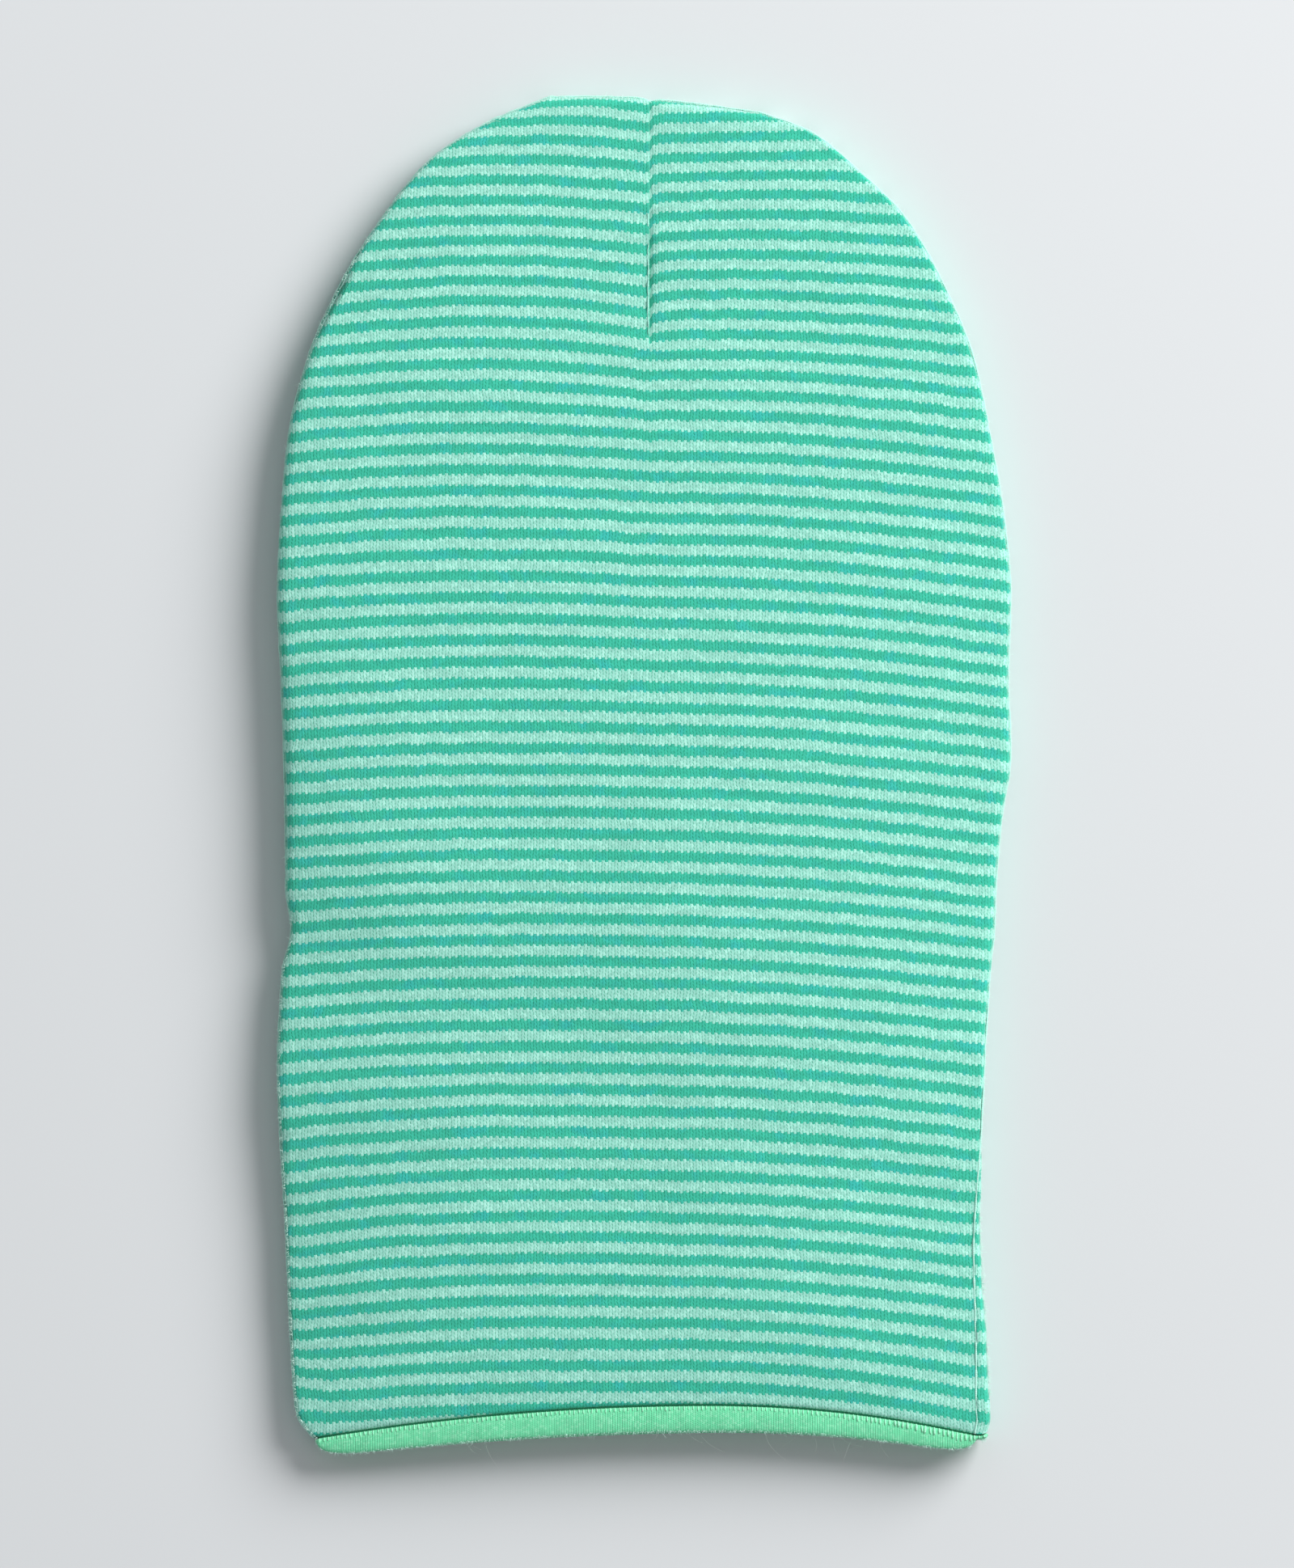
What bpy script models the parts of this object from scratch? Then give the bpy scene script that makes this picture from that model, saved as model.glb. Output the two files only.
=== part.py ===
"""A baby's monkey cap in striped interlock knit, lying flat with its back up and its face side down.

Metres, +Z up. +Y is the crown, -Y the neck and +X the wearer's right. The origin is on the floor under
the middle of the cap. The cap is a soft bag of two panels that meet in a seam all along the outline:
the back panel arches over, and the front panel lies on the floor and holds the face opening.
"""

import math

import bmesh
import bpy
import numpy as np

# Overall sizes of the cap as it lies
CAP_LENGTH = 0.278
CAP_WIDTH = 0.150
CAP_HEIGHT = 0.0118

# Cloth and seams
WALL = 0.0015
PIECE_GAP = 0.0003
SEAM_HEIGHT = 0.004
CROWN_ROLL = 0.0035
FLOOR_RIM = 0.0045
SEAM_WRAP = 0.0054
FOLD_ROUND = 0.0028
LEFT_FULLNESS = 7.0
RIGHT_FULLNESS = 2.5
NECK_FULLNESS = 3.5

# Soft step across the back, where the head's fullness ends above the neck. It slants down to the right
# and fades that way.
STEP_DROP = 0.0008
STEP_FADE = 0.35
STEP_Y = -0.051
STEP_SLANT = -0.39
STEP_REACH = 0.010

# Crown edge and its dart
CROWN_TILT = 0.0032
DART_LENGTH = 0.051
DART_X = 0.001
DART_DEPTH = 0.0008
DART_REACH = 0.0018
DART_NOTCH = 0.0009
DART_END = 0.010

# Neck: its seam is an arch whose ends lie lower than its top, which is a little to the right
NECK_ARCH = 0.0068
NECK_ARCH_X = 0.0138
NECK_CORNER_LIFT = 0.0012
NECK_FRONT_DROP = 0.0003
BINDING_WIDTH = 0.0053
BINDING_THICKNESS = 0.0020
BINDING_LEAST = 0.0008
BINDING_END = 0.968
BINDING_TAPER = 0.25
FOLD_SHARE = 0.45

# Face opening, inside its binding
FACE_WIDTH = 0.082
FACE_HEIGHT = 0.092
FACE_FROM_CROWN = 0.124
FACE_ROUNDNESS = 2.3

# Sections of the cap, from the neck seam to the crown.
# along: share of the way. left, right: shares of half the width. rise: share of the height.
# left_swell, right_swell: shares of the rise that the cloth swells from each fold to the middle.
# wrap: share of the seam wrap, how far the right side seam has turned onto the back.
COLUMNS = [(name, float) for name in ("along", "left", "right", "rise", "left_swell", "right_swell", "wrap")]
SECTIONS = np.array(
    [
        (0.00, 0.900, 0.940, 0.850, 0.40, 0.35, 0.95),
        (0.01, 0.931, 0.946, 0.870, 0.42, 0.35, 1.00),
        (0.02, 0.949, 0.943, 0.900, 0.45, 0.37, 1.00),
        (0.06, 0.962, 0.936, 0.955, 0.50, 0.42, 0.90),
        (0.15, 0.978, 0.918, 0.995, 0.48, 0.44, 0.62),
        (0.27, 1.000, 0.931, 1.000, 0.35, 0.44, 0.00),
        (0.34, 0.987, 0.945, 0.990, 0.35, 0.46, 0.00),
        (0.37, 0.963, 0.956, 0.985, 0.35, 0.47, 0.00),
        (0.40, 0.977, 0.960, 0.980, 0.35, 0.48, 0.00),
        (0.45, 0.979, 0.975, 0.970, 0.34, 0.49, 0.00),
        (0.50, 0.983, 1.000, 0.960, 0.33, 0.50, 0.00),
        (0.56, 0.991, 0.994, 0.935, 0.29, 0.50, 0.00),
        (0.62, 1.000, 1.000, 0.900, 0.25, 0.50, 0.00),
        (0.68, 0.991, 0.982, 0.862, 0.22, 0.48, 0.00),
        (0.74, 0.971, 0.945, 0.833, 0.19, 0.44, 0.00),
        (0.80, 0.918, 0.900, 0.785, 0.16, 0.38, 0.00),
        (0.86, 0.823, 0.812, 0.728, 0.14, 0.30, 0.00),
        (0.91, 0.708, 0.711, 0.690, 0.12, 0.25, 0.00),
        (0.95, 0.591, 0.576, 0.670, 0.11, 0.22, 0.00),
        (0.98, 0.430, 0.462, 0.656, 0.10, 0.22, 0.00),
        (1.00, 0.257, 0.317, 0.642, 0.10, 0.22, 0.00),
    ],
    dtype=COLUMNS,
)

# How fast the neck's arch and the crown's tilt die out along the cap, and how tightly the binding's ends and
# the lift of the right neck corner turn
ARCH_FADE = 3
TILT_FADE = 20
CORNER_SHARPNESS = 20
LIFT_SHARPNESS = 60

# Mesh fineness
BODY_ROWS = 40
END_CLOSENESS = 0.06
FOLD_CLOSENESS = 0.7
ROLL_ROWS = 5
SIDE_COLUMNS = 12
FLOOR_COLUMNS = 12
RIM_COLUMNS = 4
SKIN_SAMPLES = 240
RING_STATIONS = 30
FACE_STATIONS = 56
FOLD_STEPS = 5
TINY = 1e-4
SHARP_ANGLE = math.radians(50)

# Colours from the photo, linear, and how matt the cloth is
STRIPE_COLOUR = (0.156, 0.62, 0.48, 1.0)
BINDING_COLOUR = (0.15, 0.62, 0.38, 1.0)
KNIT_ROUGHNESS = 0.92
BINDING_ROUGHNESS = 0.88


def smooth_column(name, along):
    """A column of the section table, read at any share along the cap on a curve that doesn't overshoot."""
    places = SECTIONS["along"]
    values = SECTIONS[name]
    steps = np.diff(values) / np.diff(places)
    before = steps[:-1]
    after = steps[1:]
    same_way = before * after > 0
    inner = np.where(same_way, 2 * before * after / np.where(same_way, before + after, 1.0), 0.0)
    slopes = np.concatenate([steps[:1], inner, steps[-1:]])
    k = min(int(np.searchsorted(places, along, side="right")) - 1, len(places) - 2)
    width = places[k + 1] - places[k]
    t = (along - places[k]) / width
    from_below = (1 - t) ** 2 * (values[k] * (1 + 2 * t) + slopes[k] * width * t)
    from_above = t**2 * (values[k + 1] * (3 - 2 * t) - slopes[k + 1] * width * (1 - t))
    return from_below + from_above


def binding_width(x, left, right):
    """Width of the neck binding at x: full in the middle, narrower to the sides and rounded at the folds."""
    share = min(abs(x) / (right * BINDING_END if x > 0 else left), 1.0)
    full = BINDING_WIDTH * (1 - BINDING_TAPER * share**2) * math.sqrt(1 - share**CORNER_SHARPNESS)
    return max(full, BINDING_LEAST)


def neck_arch(x):
    """How far the neck seam at x lies below the top of its arch. At the right fold the corner lifts again."""
    left, right = half_widths(0)
    reach = right - NECK_ARCH_X if x > NECK_ARCH_X else left + NECK_ARCH_X
    lift = NECK_CORNER_LIFT * min(max(x / right, 0.0), 1.0) ** LIFT_SHARPNESS
    return NECK_ARCH * ((x - NECK_ARCH_X) / reach) ** 2 - lift


def half_widths(along):
    """Distance of the left and the right fold from the middle of the cap."""
    return CAP_WIDTH / 2 * smooth_column("left", along), CAP_WIDTH / 2 * smooth_column("right", along)


def neck_reach():
    """How far the neck's lowest point lies below the top of its arch."""
    left, right = half_widths(0)
    places = np.linspace(-left, right, SKIN_SAMPLES)
    return max(neck_arch(x) + PIECE_GAP + binding_width(x, left, right) for x in places)


CROWN_Y = CAP_LENGTH / 2
NECK_Y = neck_reach() - CAP_LENGTH / 2
PANEL_LENGTH = CROWN_Y - NECK_Y
UPPER_SEAM = SEAM_HEIGHT + PIECE_GAP / 2
LOWER_SEAM = SEAM_HEIGHT - PIECE_GAP / 2


def roll(along, depth):
    """1 on the body of the cap, falling to 0 at the crown edge on a quarter ellipse of this depth."""
    into = (along - 1) * PANEL_LENGTH / depth + 1
    return math.sqrt(1 - min(max(into, 0.0), 1.0) ** 2)


def dart_fade(along):
    """1 along the dart, 0 below its end."""
    past_end = DART_LENGTH - (1 - along) * PANEL_LENGTH
    return math.sqrt(min(max(past_end / DART_END, 0.0), 1.0))


def top_line(along):
    """The section over the back, from the left fold to the right fold, as x and z.

    The folds rise as quarter ellipses FOLD_ROUND wide, and the cloth between them swells a little more,
    most roundly on the right. On the left it swells more roundly below the step.
    """
    left, right = half_widths(along)
    across = np.sin(np.linspace(-math.pi / 2, math.pi / 2, SKIN_SAMPLES))
    x = np.where(across < 0, across * left, across * right)
    rise = CAP_HEIGHT * smooth_column("rise", along) - UPPER_SEAM
    from_fold = np.where(across < 0, x + left, right - x)
    fold = np.sqrt(1 - np.clip(1 - from_fold / FOLD_ROUND, 0.0, 1.0) ** 2)
    to_step = STEP_Y + STEP_SLANT * x - (NECK_Y + along * PANEL_LENGTH)
    below_step = (1 + np.tanh(to_step / STEP_REACH)) / 2
    left_fullness = LEFT_FULLNESS + (NECK_FULLNESS - LEFT_FULLNESS) * below_step
    swell = 1 - np.abs(across) ** np.where(across < 0, left_fullness, RIGHT_FULLNESS)
    left_share, right_share = (smooth_column(name, along) for name in ("left_swell", "right_swell"))
    swell_share = np.where(across < 0, left_share, right_share)
    shape = (1 - swell_share) * fold + swell_share * swell
    dip = STEP_DROP * (1 - STEP_FADE * across) * fold * below_step
    groove = DART_DEPTH * dart_fade(along) * np.exp(-np.abs(x - DART_X) / DART_REACH)
    return x, UPPER_SEAM + (rise * shape - dip - groove) * roll(along, CROWN_ROLL)


def floor_line(along):
    """The section along the floor, from the left fold to the right fold, as x and z."""
    left, right = half_widths(along)
    turn = np.linspace(0, math.pi / 2, SKIN_SAMPLES // 4)
    inwards = FLOOR_RIM * (1 - np.cos(turn))
    down = LOWER_SEAM * roll(along, FLOOR_RIM) * np.sin(turn)
    x = np.concatenate([inwards - left, (right - inwards)[::-1]])
    z = np.concatenate([LOWER_SEAM - down, (LOWER_SEAM - down)[::-1]])
    return x, z


def lengths_along(x, z):
    """Length along a section's line up to each of its points."""
    return np.concatenate([[0.0], np.cumsum(np.hypot(np.diff(x), np.diff(z)))])


def lengthwise(x, along, underneath=False):
    """y of a skin point: the arch at the neck and the tilt and notch at the crown move it off its section."""
    left, right = half_widths(along)
    arch = neck_arch(x) * (1 - along) ** ARCH_FADE
    tilt = CROWN_TILT * max(x / right, 0.0) * along**TILT_FADE
    notch = DART_NOTCH * math.exp(-abs(x - DART_X) / DART_REACH) * (1 - roll(along, CROWN_ROLL))
    middle = max(1 - (x / left) ** 2, 0.0)
    drop = NECK_FRONT_DROP * middle * (1 - along) ** ARCH_FADE if underneath else 0.0
    return NECK_Y + along * PANEL_LENGTH - arch - tilt - notch - drop


def back_point(share, along):
    """Outer skin of the back panel, at shares from -1 at the left seam to 0 on the dart and 1 at right."""
    x, z = top_line(along)
    lengths = lengths_along(x, z)
    dart = np.interp(DART_X, x, lengths)
    if share <= 0:
        place = dart * (1 + share)
    else:
        place = dart + (lengths[-1] - SEAM_WRAP * smooth_column("wrap", along) - dart) * share
    px = np.interp(place, lengths, x)
    pz = np.interp(place, lengths, z)
    return np.array([px, lengthwise(px, along), pz])


def front_point(share, along):
    """Outer skin of the front panel: a third of the shares on each rim and a third on the flat between."""
    x, z = floor_line(along)
    top_x, top_z = top_line(along)
    wrap = SEAM_WRAP * smooth_column("wrap", along)
    x = np.concatenate([x, top_x[::-1]])
    z = np.concatenate([z, top_z[::-1]])
    lengths = lengths_along(x, z)
    samples = SKIN_SAMPLES // 4
    marks = [0.0, lengths[samples - 1], lengths[samples], lengths[2 * samples - 1] + wrap]
    place = np.interp(share, [0.0, 1 / 3, 2 / 3, 1.0], marks)
    px = np.interp(place, lengths, x)
    pz = np.interp(place, lengths, z)
    return np.array([px, lengthwise(px, along, underneath=True), pz])


def inwards(point_at, share, along, limits, up):
    """Unit vector from the outer skin into the cap, level on the crown edge. up is 1 on top, -1 beneath."""
    low, high = limits
    before, after = max(share - TINY, low), min(share + TINY, high)
    below, above = max(along - TINY, 0.0), min(along + TINY, 1.0)
    across = point_at(after, along) - point_at(before, along)
    lengthways = point_at(share, above) - point_at(share, below)
    if along == 1.0 and share in limits:
        across = np.array([0.0, 0.0, 1.0 if share == low else -1.0]) * up
    direction = np.cross(lengthways, across) * up
    if along == 1.0:
        direction[2] = 0.0
    return direction / np.linalg.norm(direction)


def rows_along():
    """Shares along the cap: closer at the neck and below the crown, and closest round the crown's roll."""
    roll_start = 1 - CROWN_ROLL / PANEL_LENGTH
    even = np.linspace(0, 1, BODY_ROWS)
    body = roll_start * (even - END_CLOSENESS * np.sin(2 * math.pi * even))
    turn = np.linspace(0, math.pi / 2, ROLL_ROWS + 1)[1:]
    return list(body) + list(1 - (1 - np.sin(turn)) * (1 - roll_start))


def shell_object(name, grid, depth_grid, material):
    """One closed body from a grid of outer points and the matching grid of inner points."""
    rows, columns = len(grid), len(grid[0])
    mesh = bmesh.new()
    outer = [[mesh.verts.new(p) for p in row] for row in grid]
    inner = [[mesh.verts.new(p) for p in row] for row in depth_grid]
    for i in range(rows - 1):
        for j in range(columns - 1):
            mesh.faces.new([outer[i][j], outer[i][j + 1], outer[i + 1][j + 1], outer[i + 1][j]])
            mesh.faces.new([inner[i][j], inner[i + 1][j], inner[i + 1][j + 1], inner[i][j + 1]])
    for i in range(rows - 1):
        mesh.faces.new([outer[i][0], outer[i + 1][0], inner[i + 1][0], inner[i][0]])
        mesh.faces.new([outer[i][-1], inner[i][-1], inner[i + 1][-1], outer[i + 1][-1]])
    for j in range(columns - 1):
        mesh.faces.new([outer[0][j], inner[0][j], inner[0][j + 1], outer[0][j + 1]])
        mesh.faces.new([outer[-1][j], outer[-1][j + 1], inner[-1][j + 1], inner[-1][j]])
    return finished_object(name, mesh, material)


def finished_object(name, mesh, material):
    """The object made from a closed mesh, faces out and shaded smooth."""
    bmesh.ops.recalc_face_normals(mesh, faces=mesh.faces)
    data = bpy.data.meshes.new(name)
    mesh.to_mesh(data)
    mesh.free()
    data.materials.append(material)
    data.shade_smooth()
    data.set_sharp_from_angle(angle=SHARP_ANGLE)
    obj = bpy.data.objects.new(name, data)
    bpy.context.scene.collection.objects.link(obj)
    return obj


def knit_material(name, colour, roughness):
    """Plain matt cloth of one colour."""
    material = bpy.data.materials.new(name)
    material.use_nodes = True
    shader = material.node_tree.nodes["Principled BSDF"]
    shader.inputs["Base Color"].default_value = colour
    shader.inputs["Roughness"].default_value = roughness
    shader.inputs["Metallic"].default_value = 0.0
    return material


def panel_grids(point_at, shares_of_row, limits, up):
    """Outer and inner points of a panel, whose inner skin lies one wall inside the outer one."""
    outer = []
    inner = []
    for along in rows_along():
        shares = shares_of_row(along)
        points = [point_at(share, along) for share in shares]
        ways = [inwards(point_at, share, along, limits, up) for share in shares]
        outer.append(points)
        inner.append([point + WALL * way for point, way in zip(points, ways)])
    return outer, inner


def back_shares(along):
    """Columns of the back panel: closer at the folds, and a few close ones in the dart's groove."""
    x, z = top_line(along)
    lengths = lengths_along(x, z)
    dart = np.interp(DART_X, x, lengths)
    steps = np.linspace(0, 1, SIDE_COLUMNS + 1)
    spread = steps + FOLD_CLOSENESS * (1 - np.cos(steps * math.pi / 2) - steps)
    groove_sides = []
    for side in (dart, lengths[-1] - dart):
        groove = 2 * DART_REACH / side
        groove_sides.append(list(1 - spread * (1 - groove)) + [groove / 3])
    left = [-share for share in groove_sides[0]]
    return left + [0.0] + groove_sides[1][::-1]


def front_shares(_along):
    """Columns of the front panel: some on each rim, fewer on the flat between."""
    rim = np.linspace(0, 1 / 3, RIM_COLUMNS + 1)
    flat = np.linspace(1 / 3, 2 / 3, FLOOR_COLUMNS + 1)[1:-1]
    return list(rim) + list(flat) + list((1 - rim)[::-1])


def back_panel(material):
    outer, inner = panel_grids(back_point, back_shares, (-1.0, 1.0), 1)
    return shell_object("back_panel", outer, inner, material)


def oval(width, height, count):
    """Points of a full oval, anticlockwise, as x and y."""
    turns = np.linspace(0, 2 * math.pi, count, endpoint=False)
    power = 2 / FACE_ROUNDNESS
    x = width / 2 * np.sign(np.cos(turns)) * np.abs(np.cos(turns)) ** power
    y = height / 2 * np.sign(np.sin(turns)) * np.abs(np.sin(turns)) ** power
    return np.column_stack([x, y])


def face_cutter():
    """Oval prism that cuts the front panel for the face opening and its binding."""
    spare = 2 * (BINDING_WIDTH + PIECE_GAP)
    outline = oval(FACE_WIDTH + spare, FACE_HEIGHT + spare, FACE_STATIONS)
    centre_y = CROWN_Y - FACE_FROM_CROWN
    mesh = bmesh.new()
    low = [mesh.verts.new((x, y + centre_y, -WALL)) for x, y in outline]
    high = [mesh.verts.new((x, y + centre_y, 2 * WALL)) for x, y in outline]
    mesh.faces.new(low[::-1])
    mesh.faces.new(high)
    for k, corner in enumerate(low):
        following = (k + 1) % len(low)
        mesh.faces.new([corner, low[following], high[following], high[k]])
    data = bpy.data.meshes.new("face_cutter")
    mesh.to_mesh(data)
    mesh.free()
    cutter = bpy.data.objects.new("face_cutter", data)
    bpy.context.scene.collection.objects.link(cutter)
    cutter.hide_render = True
    cutter.display_type = "WIRE"
    return cutter


def front_panel(material):
    outer, inner = panel_grids(front_point, front_shares, (0.0, 1.0), -1)
    panel = shell_object("front_panel", outer, inner, material)
    cut = panel.modifiers.new("face opening", "BOOLEAN")
    cut.operation = "DIFFERENCE"
    cut.solver = "EXACT"
    cut.object = face_cutter()
    return panel


def binding_profile(width):
    """Section of a binding, as depth below the skin and reach from the seam, half round at its free edge."""
    fold = min(BINDING_THICKNESS / 2, FOLD_SHARE * width)
    shoulder = fold / 2
    turns = np.linspace(0, math.pi, FOLD_STEPS)
    depths = BINDING_THICKNESS / 2 * (1 - np.cos(turns))
    reaches = width - fold * (1 - np.sin(turns))
    return [(shoulder, 0.0), (0.0, shoulder)] + list(zip(depths, reaches)) + [(BINDING_THICKNESS, 0.0)]


def ring_object(name, sections, material):
    """One closed ring through a list of closed sections."""
    mesh = bmesh.new()
    loops = [[mesh.verts.new(p) for p in section] for section in sections]
    for k, loop in enumerate(loops):
        following = loops[(k + 1) % len(loops)]
        for j, corner in enumerate(loop):
            beside = (j + 1) % len(loop)
            mesh.faces.new([corner, loop[beside], following[beside], following[j]])
    return finished_object(name, mesh, material)


def neck_loop():
    """Stations round the neck, over the back and then under the front: skin point, inward way, if under."""
    steps = np.linspace(0, 1, RING_STATIONS)
    eased = (steps + (1 - np.cos(steps * math.pi)) / 2) / 2
    stations = []
    for line, reverse in ((top_line(0.0), False), (floor_line(0.0), True)):
        x, z = line
        lengths = lengths_along(x, z)
        places = lengths[-1] * (eased[::-1] if reverse else eased)
        for place in places:
            here = np.array([np.interp(place, lengths, x), np.interp(place, lengths, z)])
            low = min(max(place - TINY, 0.0), lengths[-1] - TINY)
            slope_x = np.interp(low + TINY, lengths, x) - np.interp(low, lengths, x)
            slope_z = np.interp(low + TINY, lengths, z) - np.interp(low, lengths, z)
            side = 1.0 if reverse else -1.0
            inward = np.array([-slope_z, slope_x]) * side
            stations.append((here, inward / np.linalg.norm(inward), reverse))
    return stations


def neck_binding(material):
    left, right = half_widths(0.0)
    sections = []
    for (x, z), (way_x, way_z), underneath in neck_loop():
        seam_y = lengthwise(x, 0.0, underneath) - PIECE_GAP
        profile = binding_profile(binding_width(x, left, right))
        sections.append([(x + way_x * deep, seam_y - reach, z + way_z * deep) for deep, reach in profile])
    return ring_object("neck_binding", sections, material)


def face_binding(material):
    """The binding of the face opening lies on the floor and ends at the opening's edge."""
    rim = oval(FACE_WIDTH + 2 * BINDING_WIDTH, FACE_HEIGHT + 2 * BINDING_WIDTH, FACE_STATIONS)
    centre_y = CROWN_Y - FACE_FROM_CROWN
    tangents = np.roll(rim, -1, axis=0) - np.roll(rim, 1, axis=0)
    inward = np.column_stack([-tangents[:, 1], tangents[:, 0]])
    inward = inward / np.linalg.norm(inward, axis=1)[:, None]
    sections = []
    for (x, y), (way_x, way_y) in zip(rim, inward):
        y += centre_y
        profile = binding_profile(BINDING_WIDTH)
        sections.append([(x + way_x * reach, y + way_y * reach, depth) for depth, reach in profile])
    return ring_object("face_binding", sections, material)


def main():
    for obj in list(bpy.data.objects):
        bpy.data.objects.remove(obj)
    striped_knit = knit_material("striped_knit", STRIPE_COLOUR, KNIT_ROUGHNESS)
    green_rib = knit_material("green_rib", BINDING_COLOUR, BINDING_ROUGHNESS)
    back_panel(striped_knit)
    front_panel(striped_knit)
    neck_binding(green_rib)
    face_binding(green_rib)


main()
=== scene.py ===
"""The monkey cap as it looks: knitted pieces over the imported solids, a pale floor, soft light and the camera.

Metres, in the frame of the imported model: +Z up, +Y the crown, -Y the neck, +X the wearer's right.
The cloth is made as grids of points from the sizes and sections of the solids, with closer points,
tighter folds and fine relief.
"""

import math

import bpy
import numpy as np
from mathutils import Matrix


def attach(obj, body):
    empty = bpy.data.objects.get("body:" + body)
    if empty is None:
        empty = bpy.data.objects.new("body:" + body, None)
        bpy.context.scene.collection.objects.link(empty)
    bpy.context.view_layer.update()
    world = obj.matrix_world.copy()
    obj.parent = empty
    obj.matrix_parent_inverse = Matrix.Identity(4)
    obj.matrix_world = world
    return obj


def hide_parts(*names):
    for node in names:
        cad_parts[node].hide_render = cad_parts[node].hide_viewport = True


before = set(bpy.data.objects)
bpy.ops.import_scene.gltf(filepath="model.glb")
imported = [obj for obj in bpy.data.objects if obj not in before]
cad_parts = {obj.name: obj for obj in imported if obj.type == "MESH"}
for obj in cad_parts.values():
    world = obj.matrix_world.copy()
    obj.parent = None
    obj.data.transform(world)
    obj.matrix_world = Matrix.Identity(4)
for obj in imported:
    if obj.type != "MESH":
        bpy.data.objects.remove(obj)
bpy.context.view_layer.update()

MM = 0.001
FLOOR_REACH = 8.0
FLOOR_Z = -0.0002

# Sizes of the cap, as in the solids, but with tighter side folds and a right seam that wraps further over
CAP_LENGTH = 0.278
CAP_WIDTH = 0.150
CAP_HEIGHT = 0.0118
PIECE_GAP = 0.0003
SEAM_HEIGHT = 0.004
CROWN_ROLL = 0.0035
FLOOR_RIM = 0.0045
SEAM_WRAP = 0.0062
FOLD_ROUND = 0.0012
LEFT_FULLNESS = 7.0
RIGHT_FULLNESS = 2.5
NECK_FULLNESS = 3.5
STEP_DROP = 0.0008
STEP_FADE = 0.35
STEP_Y = -0.051
STEP_SLANT = -0.39
STEP_REACH = 0.010
CROWN_TILT = 0.0032
DART_LENGTH = 0.051
DART_X = 0.001
DART_END = 0.010
DART_REACH = 0.0018
DART_NOTCH = 0.0009
NECK_ARCH = 0.0068
NECK_ARCH_X = 0.0138
NECK_CORNER_LIFT = 0.0012
NECK_FRONT_DROP = 0.0003
BINDING_WIDTH = 0.0053
BINDING_THICKNESS = 0.0020
BINDING_LEAST = 0.0008
BINDING_END = 0.968
BINDING_TAPER = 0.25
BINDING_FULLNESS = 0.4
FACE_WIDTH = 0.082
FACE_HEIGHT = 0.092
FACE_FROM_CROWN = 0.124
FACE_CUT = (-0.003, 0.004)
FACE_ROUNDNESS = 2.3
ARCH_FADE = 3
FOLD_TIGHTNESS = 6
TILT_FADE = 20
CORNER_SHARPNESS = 20
LIFT_SHARPNESS = 60


def table(columns, rows):
    """Rows of numbers as a table with named columns."""
    return np.array(rows, dtype=[(name, float) for name in columns.split()])


# Sections of the cap, from the neck seam to the crown, as in the solids apart from the wrap.
# along: share of the way. left, right: shares of half the width. rise: share of the height.
# left_swell, right_swell: shares of the rise that the cloth swells from each fold to the middle.
# wrap: share of the seam wrap, how far the right side seam has turned onto the back.
SECTIONS = table(
    "along left right rise left_swell right_swell wrap",
    [
        (0.00, 0.900, 0.940, 0.850, 0.40, 0.35, 0.94),
        (0.01, 0.931, 0.946, 0.870, 0.42, 0.35, 0.97),
        (0.02, 0.949, 0.943, 0.900, 0.45, 0.37, 0.97),
        (0.06, 0.962, 0.936, 0.955, 0.50, 0.42, 0.90),
        (0.15, 0.978, 0.918, 0.995, 0.48, 0.44, 0.76),
        (0.27, 1.000, 0.931, 1.000, 0.35, 0.44, 0.50),
        (0.34, 0.987, 0.945, 0.990, 0.35, 0.46, 0.15),
        (0.37, 0.963, 0.956, 0.985, 0.35, 0.47, 0.00),
        (0.40, 0.977, 0.960, 0.980, 0.35, 0.48, 0.00),
        (0.45, 0.979, 0.975, 0.970, 0.34, 0.49, 0.00),
        (0.50, 0.983, 1.000, 0.960, 0.33, 0.50, 0.00),
        (0.56, 0.991, 0.994, 0.935, 0.29, 0.50, 0.00),
        (0.62, 1.000, 1.000, 0.900, 0.25, 0.50, 0.00),
        (0.68, 0.991, 0.982, 0.862, 0.22, 0.48, 0.00),
        (0.74, 0.971, 0.945, 0.833, 0.19, 0.44, 0.00),
        (0.80, 0.918, 0.900, 0.785, 0.16, 0.38, 0.00),
        (0.86, 0.823, 0.812, 0.728, 0.14, 0.30, 0.00),
        (0.91, 0.708, 0.711, 0.690, 0.12, 0.25, 0.00),
        (0.95, 0.591, 0.576, 0.670, 0.11, 0.22, 0.00),
        (0.98, 0.430, 0.462, 0.656, 0.10, 0.22, 0.00),
        (1.00, 0.257, 0.317, 0.642, 0.10, 0.22, 0.00),
    ],
)

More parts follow.
